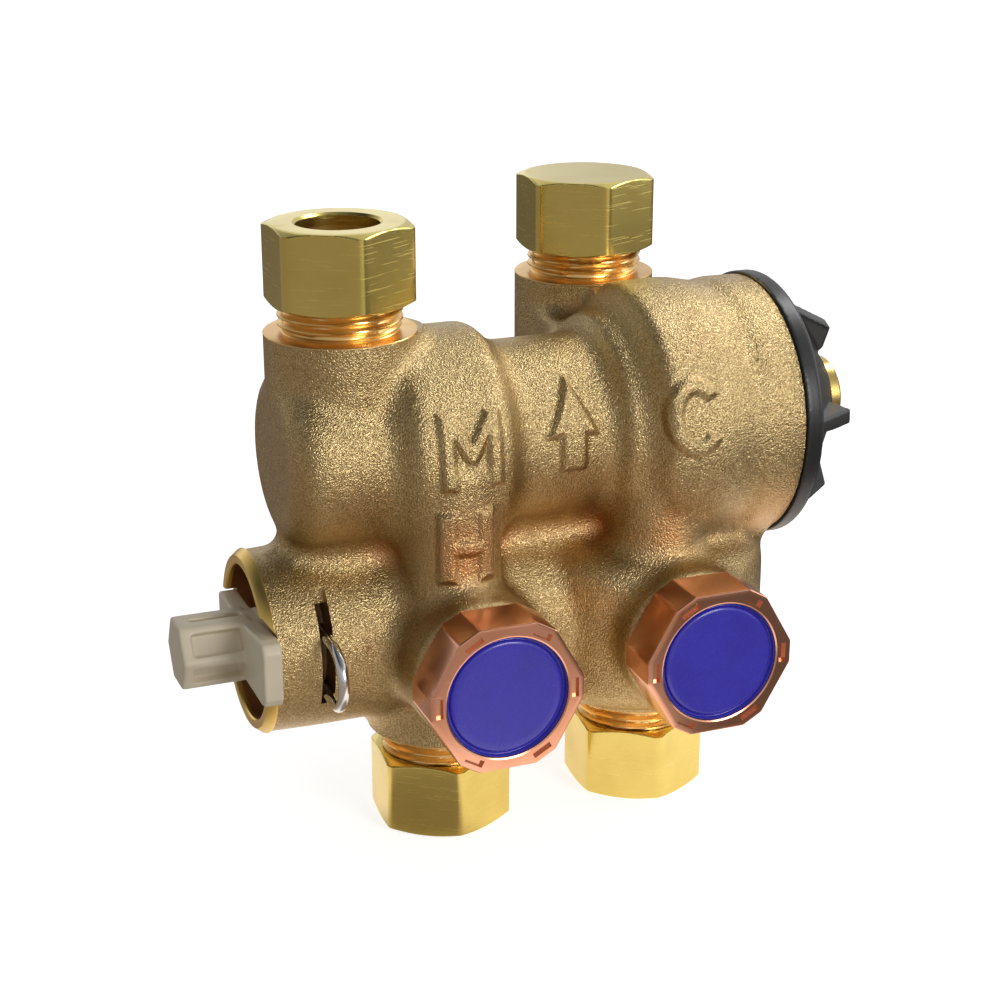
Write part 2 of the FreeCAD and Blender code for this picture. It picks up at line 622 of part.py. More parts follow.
    # notches in the mouth for the plug's cross bar, and the slots for the wire clip
    across = (r("lowerRadius") + spare) * 2
    tools.append(box("BarNotch", r("barThickness") * 2, across, r("barHeight") + r("notchGap") * 2,
                     r("barInner") - r("barThickness"), plane, lower))
    slotTall = r("slotHigh") + r("slotLow")
    tools.append(box("ClipSlot", r("clipWire") + r("clipGap") * 2, across, slotTall,
                     r("clipPlace"), plane, lower + (r("slotHigh") - r("slotLow")) / 2))
    # the cutter leaves a wedge that runs out above the slot, in front
    runOut = newBody("SlotRunOut")
    top = r("slotHigh")
    front = -r("lowerRadius") - spare
    deep = -r("lowerRadius") + r("runOutDeep")
    shallow = -r("lowerRadius") + r("runOutShallow")
    wedge = extruded(runOut, "YZ_Plane", [(front, top - spare), (deep, top - spare),
                                          (shallow, top + r("runOut")), (front, top + r("runOut"))],
                     r("clipWire") + r("clipGap") * 2, "SlotWedge")
    put(runOut, r("clipPlace"), plane, lower)
    tools.append(runOut)
    return keep(cutFrom("valve_body", casting, tools))


# Four compression unions
def unions():
    fittings = [("outlet", outletPlace, topRim, True, size("outletNutTurn"), False),
                ("blank", branchPlace, topRim, True, size("blankNutTurn"), True),
                ("hot_inlet", hotPlace, bottomRim, False, size("hotNutTurn"), False),
                ("cold_inlet", coldPlace, bottomRim, False, size("coldNutTurn"), False)]
    for name, place, rim, upward, rotation, blank in fittings:
        unionNut(name + "_nut", place, rim, upward, rotation, blank)
        if blank:
            tip = size("spigotLength")
            reach = threadRadius - size("threadDepth") / 2
            points = [(tip, asSize(0)), (tip, reach), (tip + size("blankDiscThickness"), reach),
                      (tip + size("blankDiscThickness"), asSize(0))]
            keep(turned("blank_disc", "Z", points, place[0], place[1], rim))
        else:
            olive(name + "_olive", place, rim, upward)


# A rubber ring seated in its groove against a bore
def seal(label, direction, bore, wire, x, y, z):
    reach = wire / 2 - size("sealGap")
    sides = 6
    points = []
    for number in range(sides):
        angle = 2 * math.pi * number / sides
        points.append((reach * math.sin(angle), asSize(bore) - wire / 2 + reach * math.cos(angle)))
    return keep(turned(label, direction, points, x, y, z))


# A coil spring along Z of its own frame, between two flat seats: eight-sided wire
# lofted through evenly spaced stations of the helix
def coil(label, radius, wire, turns, length, x, y, z, direction):
    stations = 12
    sides = 8
    seated = 1.1
    rise = length.value - wire.value * seated
    count = int(round(turns.value * stations))
    sections = []
    for number in range(count + 1):
        angle = 2 * math.pi * number / stations
        outwards = Vector(math.cos(angle), math.sin(angle), 0)
        centre = outwards * radius.value + Vector(0, 0, rise * number / count + wire.value * seated / 2)
        corners = []
        for side in range(sides):
            lean = 2 * math.pi * (side + 0.5) / sides
            corners.append(centre + outwards * (wire.value / 2 * math.cos(lean))
                           + Vector(0, 0, wire.value / 2 * math.sin(lean)))
        sections.append(Part.makePolygon(corners + corners[:1]))
    spring = doc.addObject("Part::Feature", label)
    spring.Label = label
    spring.Shape = Part.makeLoft(sections, True, True)
    spring.Placement = FreeCAD.Placement(Vector(x.value, y.value, z.value),
                                         FreeCAD.Rotation(*sideTurns[direction]))
    return keep(spring)


# One check valve with its strainer and the hexagon cap that closes the boss
def checkValve(name, across):
    r = size
    height = r("frontAxis")
    face = r("frontFace")
    web = face - r("discRecess")
    inner = r("capInner")
    back = face - r("capLength")
    skirt = r("capThread") + gap
    reach = r("capFlats") * hexagonSide
    shoulder = r("capCorners") / 2 - r("capChamfer")
    capSlope = 0.6
    points = [(-back, skirt), (-inner, skirt), (-inner, asSize(0)), (-web, asSize(0)),
              (-web, r("discRadius") + gap), (-face, r("discRadius") + gap), (-face, shoulder),
              (-face + (reach - shoulder) * capSlope, reach), (-back, reach)]
    blank = turned(name + "CapTurned", "Y", points, across, 0, height)
    # a hexagon bar, its corners cut flat by a second hexagon turned by half a side
    for part, flats, turn in (("Bar", r("capFlats"), 0), ("Corners", r("capCorners"), 30)):
        bar = doc.addObject("Part::Prism", name + "Cap" + part)
        bar.Polygon = 6
        bar.setExpression("Circumradius", (flats * hexagonSide).text)
        bar.setExpression("Height", r("capLength").text)
        put(bar, across, -back, height, *sideTurns["-Y"])
        bar.Placement.Rotation = bar.Placement.Rotation.multiply(FreeCAD.Rotation(Vector(0, 0, 1), turn))
        blank = shared(name + "CapBlank" + part, blank, bar)
    slots = []
    for number in range(6):
        angle = 60.0 * number
        slot = box(name + "CapSlot" + str(number), r("slotWidth"), r("slotDepth") * 2, r("slotLength"))
        turn = FreeCAD.Rotation(Vector(0, 1, 0), angle)
        reach = r("slotPlace")
        put(slot, across + reach * math.cos(math.radians(angle)), -face,
            height - reach * math.sin(math.radians(angle)), Vector(0, 1, 0), angle)
        slots.append(slot)
    keep(cutFrom(name + "_check_cap", blank, slots))
    dome = r("discDome")
    edge = r("discEdge")
    rim = r("discRadius")
    bevel = edge / 3
    domeSteps = 5
    disc = [(-web, asSize(0)), (-web, rim), (-web - edge + bevel, rim), (-web - edge, rim - bevel)]
    for step in range(domeSteps - 1, 0, -1):
        part = step / domeSteps
        disc.append((-web - edge - dome * (1 - part * part), (rim - bevel) * part))
    disc.append((-web - edge - dome, asSize(0)))
    keep(turned(name + "_cap_disc", "Y", disc, across, 0, height))

    cageEnd = inner
    seat = r("cageSeat")
    outer = r("checkBore") - gap
    neckStart = r("guideEnd")
    groove = r("smallSealWire")
    grooveRadius = r("checkBore") - r("smallSealWire")
    cage = [(-r("cageBack"), r("seatBore")), (-r("cageBack"), outer),
            (-r("cageSealPlace") + groove / 2, outer), (-r("cageSealPlace") + groove / 2, grooveRadius),
            (-r("cageSealPlace") - groove / 2, grooveRadius), (-r("cageSealPlace") - groove / 2, outer),
            (-cageEnd, outer), (-cageEnd, asSize(0)), (-cageEnd + r("cageEndThickness"), asSize(0)),
            (-cageEnd + r("cageEndThickness"), r("cageNeck")), (-neckStart, r("cageNeck")),
            (-neckStart, r("cageBore")), (-seat, r("cageBore")), (-seat, r("seatBore"))]
    body = turned(name + "_check_cage", "Y", cage, across, 0, height)
    half = r("cageWindowWidth") / 2
    window = extruded(body, "XY_Plane", [(-half, -r("cageWindowStart")), (half, -r("cageWindowStart")),
                                         (half, -r("cageWindowEnd")), (-half, -r("cageWindowEnd"))],
                      r("checkBore") + spare, name + "Window", cut=True, both=False, backwards=True)
    around(body, window, "Y_Axis", 4, name + "Windows")
    keep(body)
    seal(name + "_cage_seal", "Y", r("checkBore"), r("smallSealWire"), across, -r("cageSealPlace"), height)

    poppetBack = seat + gap
    poppet = [(-poppetBack, asSize(0)), (-poppetBack, r("poppetRadius")),
              (-poppetBack - r("poppetThickness"), r("poppetRadius")),
              (-poppetBack - r("poppetThickness"), r("stemRadius")), (-r("stemEnd"), r("stemRadius")),
              (-r("stemEnd"), asSize(0))]
    keep(turned(name + "_check_poppet", "Y", poppet, across, 0, height))
    springStart = poppetBack + r("poppetThickness")
    coil(name + "_check_spring", r("checkSpringRadius"), r("checkSpringWire"), r("checkSpringTurns"),
         r("guidePlace") - springStart, across, -springStart, height, "-Y")
    guide = [(-r("guidePlace"), r("stemRadius") + gap * 2), (-r("guidePlace"), r("cageBore") - gap),
             (-neckStart, r("cageBore") - gap), (-neckStart, r("stemRadius") + gap * 2)]
    guideBody = turned(name + "_check_guide", "Y", guide, across, 0, height)
    hole = r("guideHole")
    ring = r("guideHoleRing")
    opening = extruded(guideBody, "XZ_Plane", [(ring - hole, -hole), (ring + hole, -hole),
                                               (ring + hole, hole), (ring - hole, hole)],
                       (neckStart + spare) * 2, name + "GuideHole", cut=True)
    around(guideBody, opening, "Y_Axis", 6, name + "GuideHoles")
    keep(guideBody)

    strainerEnd = r("cageBack")
    backWall = r("checkBoreBack")
    mesh = [(-strainerEnd, outer - r("strainerWall")), (-strainerEnd, outer), (backWall, outer),
            (backWall, outer - r("strainerWall"))]
    strainer = turned(name + "_strainer", "Y", mesh, across, 0, height)
    side = r("strainerWindow") / 2
    rim = r("strainerRim")
    pane = extruded(strainer, "XY_Plane", [(-side, -strainerEnd + rim), (side, -strainerEnd + rim),
                                           (side, backWall - rim), (-side, backWall - rim)],
                    r("checkBore") + spare, name + "Pane", cut=True, both=False, backwards=True)
    around(strainer, pane, "Y_Axis", 8, name + "Panes")
    keep(strainer)


# Flushing plug: sealed stem, cross bar across the mouth and a hexagon stub to turn it by
def flushPlug():
    r = size
    head = r("plugHead")
    tail = r("plugTail")
    bore = r("plugBore")
    outer = r("plugRadius")
    wire = r("plugSealWire")
    clip = r("clipPlace")
    waist = r("clipHalf") - r("clipWire") / 2 - r("clipGap")
    clipHalf = r("clipWire") / 2 + r("clipGap")
    groove = bore - wire
    root = r("barInner") - spare
    points = [(root, asSize(0)), (root, r("barHub")), (head, r("barHub")),
              (head, outer), (clip - clipHalf, outer), (clip - clipHalf, waist),
              (clip + clipHalf, waist), (clip + clipHalf, outer)]
    for spot in (r("plugSealOne"), r("plugSealTwo")):
        points += [(spot - wire / 2, outer), (spot - wire / 2, groove),
                   (spot + wire / 2, groove), (spot + wire / 2, outer)]
    points += [(tail, outer), (tail, asSize(0))]
    stem = turned("PlugStem", "X", points, 0, plane, lower)
    bar = box("PlugBar", r("barThickness"), r("barFront") + r("barBack"), r("barHeight"),
              (r("barOuter") + r("barInner")) / 2, plane + (r("barBack") - r("barFront")) / 2, lower)
    doc.recompute()
    block = bar.Tip
    edges = []
    for number, edge in enumerate(block.Shape.Edges, start=1):
        first, last = edge.Vertexes[0].Point, edge.Vertexes[-1].Point
        if abs(first.x - last.x) > spare.value / 2:
            edges.append("Edge" + str(number))
    rounding = bar.newObject("PartDesign::Fillet", "PlugBarRound")
    rounding.Base = (block, edges)
    rounding.setExpression("Radius", r("barRound").text)
    bar.Tip = rounding
    stub = doc.addObject("Part::Prism", "PlugStub")
    stub.Polygon = 6
    stub.setExpression("Circumradius", (r("stubFlats") * hexagonSide).text)
    stub.setExpression("Height", (r("stubLength") + spare).text)
    turn = FreeCAD.Rotation(Vector(1, 0, 0), r("stubTurn").value).multiply(
        FreeCAD.Rotation(Vector(0, 1, 0), 90))
    put(stub, r("stubEnd"), plane, lower)
    stub.Placement.Rotation = turn
    solid = joined("PlugSolid", [stem, bar, stub])
    pockets = []
    middle = (r("stubEnd") + r("barOuter")) / 2
    for number in range(6):
        angle = 60.0 * number + 30.0 + float(sheet.get("stubTurn"))
        reach = r("stubFlats") / 2
        pocket = box("PlugPocket" + str(number), r("pocketLength"), r("pocketWidth"), r("pocketDepth") * 2)
        put(pocket, middle, plane + reach * math.cos(math.radians(angle)),
            lower + reach * math.sin(math.radians(angle)), Vector(1, 0, 0), angle - 90.0)
        pockets.append(pocket)
    keep(cutFrom("flush_plug", solid, pockets))
    seal("plug_seal_outer", "X", bore, wire, r("plugSealOne"), plane, lower)
    seal("plug_seal_inner", "X", bore, wire, r("plugSealTwo"), plane, lower)


# Wire clip: two legs either side of the plug's waist, joined by a round bend in front
def plugClip():
    r = size
    half = r("clipHalf")
    wire = r("clipWire") / 2
    bend = r("clipFront") - half
    legs = []
    for name, side in (("Upper", 1), ("Lower", -1)):
        legs.append(cylinder("ClipLeg" + name, "Y", wire, bend + r("clipBack") + plane, r("clipPlace"), -bend,
                             lower + half * side))
    loop = doc.addObject("Part::Torus", "ClipBend")
    loop.setExpression("Radius1", half.text)
    loop.setExpression("Radius2", wire.text)
    loop.Angle3 = 180
    put(loop, r("clipPlace"), -bend, lower)
    loop.Placement.Rotation = FreeCAD.Rotation(Vector(0, 1, 0), 90).multiply(
        FreeCAD.Rotation(Vector(0, 0, 1), 180))
    keep(joined("plug_clip", legs + [loop]))


# Cartridge that mixes hot and cold water, lying in the upper barrel
def cartridge():
    r = size
    start = r("sleeveStart")
    end = r("sleeveEnd")
    outer = r("sleeveBore") - gap
    inner = r("shuttleRadius") + gap
    wire = r("sleeveSealWire")
    grooveRadius = r("sleeveBore") - wire
    points = [(start, r("sleeveFlangeBore")), (start, outer)]
    for place in (r("sealLeft"), r("sealMiddle"), r("sealRight")):
        points += [(place - wire / 2, outer), (place - wire / 2, grooveRadius),
                   (place + wire / 2, grooveRadius), (place + wire / 2, outer)]
    points += [(end, outer), (end, inner), (r("hotSeat"), inner), (r("hotSeat"), r("shuttleBore") + spare),
               (start + r("sleeveFlange"), r("shuttleBore") + spare),
               (start + r("sleeveFlange"), r("sleeveFlangeBore"))]
    body = turned("cartridge_sleeve", "X", points, 0, plane, upper)
    half = r("hotWindowWidth") / 2
    hotFrom = r("hotSeat") - spare
    hotTo = r("shuttleStart") + spare * 2
    hot = extruded(body, "XY_Plane", [(hotFrom, -half), (hotTo, -half), (hotTo, half), (hotFrom, half)],
                   r("sleeveBore") + spare, "HotWindow", cut=True, both=False, backwards=True)
    around(body, hot, "X_Axis", 4, "HotWindows")
    wide = r("coldWindowWidth") / 2
    coldFrom = r("shuttleEnd") - spare * 3
    coldTo = r("seatStart")
    cold = extruded(body, "XY_Plane", [(coldFrom, -wide), (coldTo, -wide), (coldTo, wide), (coldFrom, wide)],
                    r("sleeveBore") + spare, "ColdWindow", cut=True, both=False, backwards=True)
    around(body, cold, "X_Axis", 4, "ColdWindows")
    keep(body)
    for name, place in (("left", "sealLeft"), ("middle", "sealMiddle"), ("right", "sealRight")):
        seal("sleeve_seal_" + name, "X", r("sleeveBore"), wire, r(place), plane, upper)

    shuttleStart = r("shuttleStart")
    shuttleEnd = r("shuttleEnd")
    webEnd = r("webPlace") + r("webThickness")
    shuttle = [(shuttleStart, r("shuttleBore")), (shuttleStart, r("shuttleRadius")),
               (shuttleEnd, r("shuttleRadius")), (shuttleEnd, r("shuttleBore")),
               (webEnd, r("shuttleBore")), (webEnd, r("elementStem") + gap),
               (r("webPlace"), r("elementStem") + gap), (r("webPlace"), r("shuttleBore"))]
    piston = turned("shuttle", "X", shuttle, 0, plane, upper)
    hole = r("webHole")
    ring = r("webHoleRing")
    flow = extruded(piston, "YZ_Plane", [(ring - hole, -hole), (ring + hole, -hole), (ring + hole, hole),
                                         (ring - hole, hole)], (webEnd + spare) * 2, "WebHole", cut=True)
    around(piston, flow, "X_Axis", 6, "WebHoles")
    keep(piston)

    edge = r("capsuleEdge")
    element = [(r("capsuleStart"), asSize(0)), (r("capsuleStart"), r("capsuleRadius") - edge),
               (r("capsuleStart") + edge, r("capsuleRadius")),
               (r("webPlace") - r("capsuleShoulder"), r("capsuleRadius")),
               (r("webPlace") - r("capsuleShoulder"), r("capsuleRadius") - edge),
               (r("webPlace"), r("capsuleRadius") - edge), (r("webPlace"), r("elementStem")),
               (r("stemReach"), r("elementStem")), (r("stemReach"), r("pinRadius")),
               (r("pinEnd"), r("pinRadius")), (r("pinEnd"), asSize(0))]
    keep(turned("temperature_element", "X", element, 0, plane, upper))
    springStart = start + r("sleeveFlange")
    coil("return_spring", r("returnRadius"), r("returnWire"), r("returnTurns"),
         r("webPlace") - springStart, springStart, plane, upper, "X")
    seatStart = r("seatStart")
    seat = [(seatStart, r("seatRingBore")), (seatStart, inner - gap), (seatStart + r("seatRingLength"), inner - gap),
            (seatStart + r("seatRingLength"), r("seatRingBore"))]
    keep(turned("cold_seat", "X", seat, 0, plane, upper))

    carrierStart = r("carrierStart")
    wall = carrierStart + r("carrierWall")
    carrier = [(carrierStart, r("noseRadius") + gap * 2), (carrierStart, r("carrierRadius")),
               (r("carrierEnd"), r("carrierRadius")), (r("carrierEnd"), r("spindleThread") + gap),
               (r("carrierInner"), r("spindleThread") + gap), (r("carrierInner"), r("carrierBore")),
               (wall, r("carrierBore")), (wall, r("noseRadius") + gap * 2)]
    keep(turned("setting_carrier", "X", carrier, 0, plane, upper))
    plungerEnd = wall + r("carrierWall")
    plunger = [(r("pinEnd"), asSize(0)), (r("pinEnd"), r("noseRadius")), (wall, r("noseRadius")),
               (wall, r("plungerRadius")), (plungerEnd, r("plungerRadius")), (plungerEnd, asSize(0))]
    keep(turned("overload_plunger", "X", plunger, 0, plane, upper))
    coil("overload_spring", r("overloadRadius"), r("overloadWire"), r("overloadTurns"),
         r("carrierInner") - plungerEnd, plungerEnd, plane, upper, "X")

    shaft = r("spindleRadius")
    collarEnd = r("collarStart") + r("collarThickness")
    shoulder = collarEnd + gap
    sealWire = r("smallSealWire")
    sealAt = r("spindleSealPlace")
    knobEnd = r("knobEnd")
    depth = knobEnd - r("screwDepth")
    spindle = [(r("spindleStart"), asSize(0)), (r("spindleStart"), r("spindleThread")),
               (r("collarStart"), r("spindleThread")), (r("collarStart"), r("spindleCollar")),
               (collarEnd, r("spindleCollar")), (collarEnd, shaft),
               (sealAt - sealWire / 2, shaft), (sealAt - sealWire / 2, shaft + gap - sealWire),
               (sealAt + sealWire / 2, shaft + gap - sealWire), (sealAt + sealWire / 2, shaft),
               (knobEnd - looseGap, shaft), (knobEnd - looseGap, r("screwShank") + gap),
               (depth, r("screwShank") + gap), (depth, asSize(0))]
    keep(turned("spindle", "X", spindle, 0, plane, upper))
    seal("spindle_seal", "X", shaft + gap, sealWire, sealAt, plane, upper)

    headWire = r("headSealWire")
    headOuter = r("coldBore") - gap
    headGroove = r("coldBore") - headWire
    headSeal = r("headSealPlace")
    head = [(end, r("headBore")), (end, r("headNose")), (r("headStart"), r("headNose")),
            (r("headStart"), headOuter), (headSeal - headWire / 2, headOuter),
            (headSeal - headWire / 2, headGroove), (headSeal + headWire / 2, headGroove),
            (headSeal + headWire / 2, headOuter), (r("collarEnd"), headOuter),
            (r("collarEnd"), r("hubRadius")),
            (r("hubEnd"), r("hubRadius")), (r("hubEnd"), shaft + gap), (shoulder, shaft + gap),
            (shoulder, r("headBore"))]
    keep(turned("headwork", "X", head, 0, plane, upper))
    seal("headwork_seal", "X", r("coldBore"), headWire, headSeal, plane, upper)


# Temperature knob: rim, hollow cone, centre boss and six lugs around the cone
def temperatureKnob():
    r = size
    start = r("knobStart")
    wall = r("knobWall")
    end = r("knobEnd")
    bevel = r("rimBevel")
    shaft = r("spindleRadius")
    clear = r("hubEnd") + r("knobGap") * 2
    thick = wall * 1.4
    points = [(start, r("knobRim") - wall), (start, r("knobRim")), (r("rimEnd") - bevel, r("knobRim")),
              (r("rimEnd"), r("knobRim") - bevel), (r("rimEnd"), r("coneStart")), (end, r("coneEnd")),
              (end, shaft), (clear, shaft), (clear, r("knobBoss")), (end - thick, r("coneEnd") - wall),
              (r("rimEnd") - wall / 2, r("coneStart") - wall)]
    body = turned("temperature_knob", "X", points, 0, plane, upper, turn=r("finTurn"))
    fin = extruded(body, "XZ_Plane", [
        (r("rimEnd") - bevel, r("coneStart") - wall), (r("rimEnd") - bevel, r("finBase")),
        (r("finTop"), r("finTip")), (r("finTop"), r("finInner")),
        (r("finTop") - thick, r("finInner") - wall)], r("finWidth"), "Fin")
    around(body, fin, "X_Axis", 6, "Fins")
    put(body, 0, plane, upper, turn=r("finTurn") + 90)
    keep(body)
    socket = r("hexSocket")
    face = r("knobScrewEnd")
    edge = r("screwEdge")
    tip = end - r("screwDepth") + looseGap
    screw = [(tip, asSize(0)), (tip, r("screwShank")),
             (end, r("screwShank")), (end, r("knobScrewRadius")), (face - edge, r("knobScrewRadius")),
             (face, r("knobScrewRadius") - edge), (face, socket), (face - socket, socket),
             (face - socket, asSize(0))]
    keep(turned("knob_screw", "X", screw, 0, plane, upper))


valveBody()
unions()
checkValve("hot", hotPlace[0])
checkValve("cold", coldPlace[0])
flushPlug()
plugClip()
cartridge()
temperatureKnob()
doc.recompute()

# Nothing is written unless every object computed and every piece is one valid solid
faults = [thing.Name for thing in doc.Objects if "Invalid" in thing.State or "Error" in thing.State]
for thing in nodes:
    shape = thing.Shape
    if shape.isNull() or not shape.isValid() or len(shape.Solids) != 1:
        faults.append(thing.Label)
if faults:
    raise RuntimeError("faulty pieces: " + ", ".join(faults))
for thing in nodes:
    thing.Shape.exportStep(os.path.join("parts", thing.Label + ".step"))
    print(thing.Label, round(thing.Shape.Volume, 1))
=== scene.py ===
import bpy
import bmesh
import math
import numpy as np
from mathutils import Matrix, Vector


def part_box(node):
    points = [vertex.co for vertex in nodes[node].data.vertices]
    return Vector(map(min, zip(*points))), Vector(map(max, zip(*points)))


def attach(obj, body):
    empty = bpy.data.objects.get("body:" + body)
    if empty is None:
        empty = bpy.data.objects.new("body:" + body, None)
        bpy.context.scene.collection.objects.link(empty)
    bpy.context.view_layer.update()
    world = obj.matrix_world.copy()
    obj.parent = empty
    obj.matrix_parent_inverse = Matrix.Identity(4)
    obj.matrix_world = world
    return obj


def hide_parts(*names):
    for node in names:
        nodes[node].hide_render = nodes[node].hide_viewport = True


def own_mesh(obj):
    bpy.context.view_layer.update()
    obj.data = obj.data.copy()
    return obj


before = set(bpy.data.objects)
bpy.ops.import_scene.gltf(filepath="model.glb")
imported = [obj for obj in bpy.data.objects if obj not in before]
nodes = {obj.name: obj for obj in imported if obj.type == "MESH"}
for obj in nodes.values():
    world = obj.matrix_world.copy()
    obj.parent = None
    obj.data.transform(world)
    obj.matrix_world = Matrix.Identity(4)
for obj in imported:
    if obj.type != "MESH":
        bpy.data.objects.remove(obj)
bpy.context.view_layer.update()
mm = 0.001
print("frame loaded:", len(nodes), "nodes")


# Shader maths: one wrapped socket, with Math nodes added by the operators
class Wire:
    def __init__(self, tree, socket=None):
        self.tree = tree
        self.socket = socket

    def node(self, kind, settings=None, sockets=None, output=0):
        made = self.tree.nodes.new(kind)
        for name, value in (settings or {}).items():
            if name == "stops":
                ramp = made.color_ramp
                while len(ramp.elements) < len(value):
                    ramp.elements.new(0.5)
                for element, (place, colour) in zip(ramp.elements, value):
                    element.position = place
                    element.color = (*colour, 1)
            else:
                setattr(made, name, value)
        for name, value in (sockets or {}).items():
            if isinstance(value, Wire):
                self.tree.links.new(value.socket, made.inputs[name])
            else:
                made.inputs[name].default_value = value
        return Wire(self.tree, made.outputs[output])

    def sums(self, operation, first, second):
        return self.node("ShaderNodeMath", {"operation": operation}, {0: first, 1: second})

    def __add__(self, other):
        return self.sums("ADD", self, other)

    def __radd__(self, other):
        return self.sums("ADD", other, self)

    def __sub__(self, other):
        return self.sums("SUBTRACT", self, other)

    def __rsub__(self, other):
        return self.sums("SUBTRACT", other, self)

    def __mul__(self, other):
        return self.sums("MULTIPLY", self, other)

    def __rmul__(self, other):
        return self.sums("MULTIPLY", other, self)

    def larger(self, other):
        return self.sums("MAXIMUM", self, other)

    # 0 below low, 1 above high, with a soft step between them
    def band(self, low, high):
        return self.node("ShaderNodeMapRange", {"interpolation_type": "SMOOTHSTEP"},
                         {"Value": self, "From Min": low, "From Max": high})

    def ramp(self, stops):
        return self.node("ShaderNodeValToRGB", {"stops": stops}, {"Fac": self})

    # Two colours mixed by this value
    def tint(self, first, second):
        colours = [item if isinstance(item, Wire) else (*item, 1) for item in (first, second)]
        return self.node("ShaderNodeMix", {"data_type": "RGBA"}, {0: self, 6: colours[0], 7: colours[1]}, 2)


# 1 where the camera looks, and 1 where a reflection or glass does
def rays(start):
    path = start.tree.nodes.new("ShaderNodeLightPath")
    seen = Wire(start.tree, path.outputs["Is Camera Ray"])
    glossy = Wire(start.tree, path.outputs["Is Glossy Ray"])
    return seen, glossy.larger(Wire(start.tree, path.outputs["Is Transmission Ray"]))


# The three parts of a place or direction
def parted(start, place):
    parts = start.tree.nodes.new("ShaderNodeSeparateXYZ")
    start.tree.links.new(place.socket, parts.inputs[0])
    return [Wire(start.tree, parts.outputs[number]) for number in range(3)]


# A finish starts from object coordinates, so grain has its real size
def startFinish(name):
    material = bpy.data.materials.new(name)
    material.use_nodes = True
    tree = material.node_tree
    tree.nodes.clear()
    start = Wire(tree)
    place = start.node("ShaderNodeTexCoord", output="Object")
    return material, start, place


def endFinish(material, start, fixed, varying):
    tree = start.tree
    shader = start.node("ShaderNodeBsdfPrincipled", {}, {**fixed, **varying})
    output = tree.nodes.new("ShaderNodeOutputMaterial")
    tree.links.new(shader.socket, output.inputs["Surface"])
    return material


def stretched(start, place, turn, scale):
    return start.node("ShaderNodeMapping", {}, {"Vector": place, "Rotation": turn, "Scale": scale})


def noise(start, place, scale, detail=2.0, roughness=0.5):
    return start.node("ShaderNodeTexNoise", {}, {"Vector": place, "Scale": scale, "Detail": detail,
                                                 "Roughness": roughness})


def bump(start, height, strength, depth):
    return start.node("ShaderNodeBump", {}, {"Height": height, "Strength": strength, "Distance": depth})


# Fine random scratches: thin sheets of stretched noise, which cross any face as long lines
def scratches(start, place, count, density):
    worn = None
    for number in range(count):
        turn = (0.9 + number * 1.7, 0.4 + number * 1.1, 0.5 + number * 2.3)
        sheets = stretched(start, place, turn, (60.0, 80.0, 2600.0))
        line = noise(start, sheets, 1.0, 1.0).band(density + 0.02, density + 0.10)
        worn = line if worn is None else worn.larger(line)
    return worn


# warm colours the skin's random warm patches, and the warm reflected light painted into its hollows and in
# patches
castFinish = {"low": (0.36, 0.245, 0.105), "plain": (0.48, 0.35, 0.165), "peak": (0.64, 0.49, 0.25),
              "warm": (0.54, 0.30, 0.13), "grain": 2300.0, "wave": 700.0, "patches": 30.0, "rough": 0.36,
              "polish": 0.12, "depth": 0.42}


# Bronze from a sand mould: rough grain over the whole skin, random warm patches, and warm reflected light
# painted where two forms meet
def sandCastBronze():
    material, start, place = startFinish("sandCastBronze")
    finish = castFinish
    grain = noise(start, place, finish["grain"], 1.0, 0.5)
    wave = noise(start, place, finish["wave"], 1.0)
    patches = noise(start, place, finish["patches"], 2.0)
    height = grain * 0.8 + wave * 0.2
    colour = height.ramp([(0.36, finish["low"]), (0.5, finish["plain"]), (0.64, finish["peak"])])
    crease = start.node("ShaderNodeAttribute", {"attribute_name": "crease"}, output="Fac")
    # random warm patches, with painted warm reflected light from the crease attribute
    warmth = (patches.band(0.52, 0.75) * 0.35 + crease).band(0.0, 1.0)
    colour = warmth.tint(colour, finish["warm"])
    return endFinish(material, start, {"Metallic": 1.0}, {
        "Base Color": colour, "Roughness": finish["rough"] - height * finish["polish"],
        "Normal": bump(start, height, 1.0, finish["depth"] * mm)})


# Machined metal: turning lines or bar grain, scratches and slight stains
def machinedMetal(name, colour, dull, rough, scratchShare=0.66, lines=0.0, stainAndPaintedPatch=60.0):
    material, start, place = startFinish(name)
    clouds = noise(start, place, stainAndPaintedPatch, 3.0)
    worn = scratches(start, place, 4, scratchShare)
    fine = noise(start, place, 1500.0, 2.0)
    bright = tuple(min(1.0, part * 1.35) for part in colour)
    base = clouds.band(0.42, 0.7).tint(colour, dull)
    base = (worn * 0.3).tint(base, bright)
    roughness = rough + clouds * 0.12 + worn * 0.12
    height = worn * -0.25 + fine * 0.25
    if lines:
        rings = noise(start, stretched(start, place, (0, 0, 0), (1.0, 1.0, lines)), 1.0, 1.0)
        height = height + rings * 0.5
    return endFinish(material, start, {"Metallic": 1.0}, {
        "Base Color": base, "Roughness": roughness, "Normal": bump(start, height, 0.22, 0.1 * mm)})


# Moulded plastic or rubber: faint mottling and a fine surface
def mouldedPlastic(name, colour, shade, rough, coat=0.0, grain=1300.0, strength=0.18):
    material, start, place = startFinish(name)
    clouds = noise(start, place, 90.0, 2.0)
    fine = noise(start, place, grain, 2.0)
    base = clouds.band(0.35, 0.75).tint(colour, shade)
    fixed = {"Metallic": 0.0, "Coat Weight": coat, "Coat Roughness": 0.06}
    return endFinish(material, start, fixed, {
        "Base Color": base, "Roughness": rough + fine * 0.1,
        "Normal": bump(start, fine, strength, 0.06 * mm)})


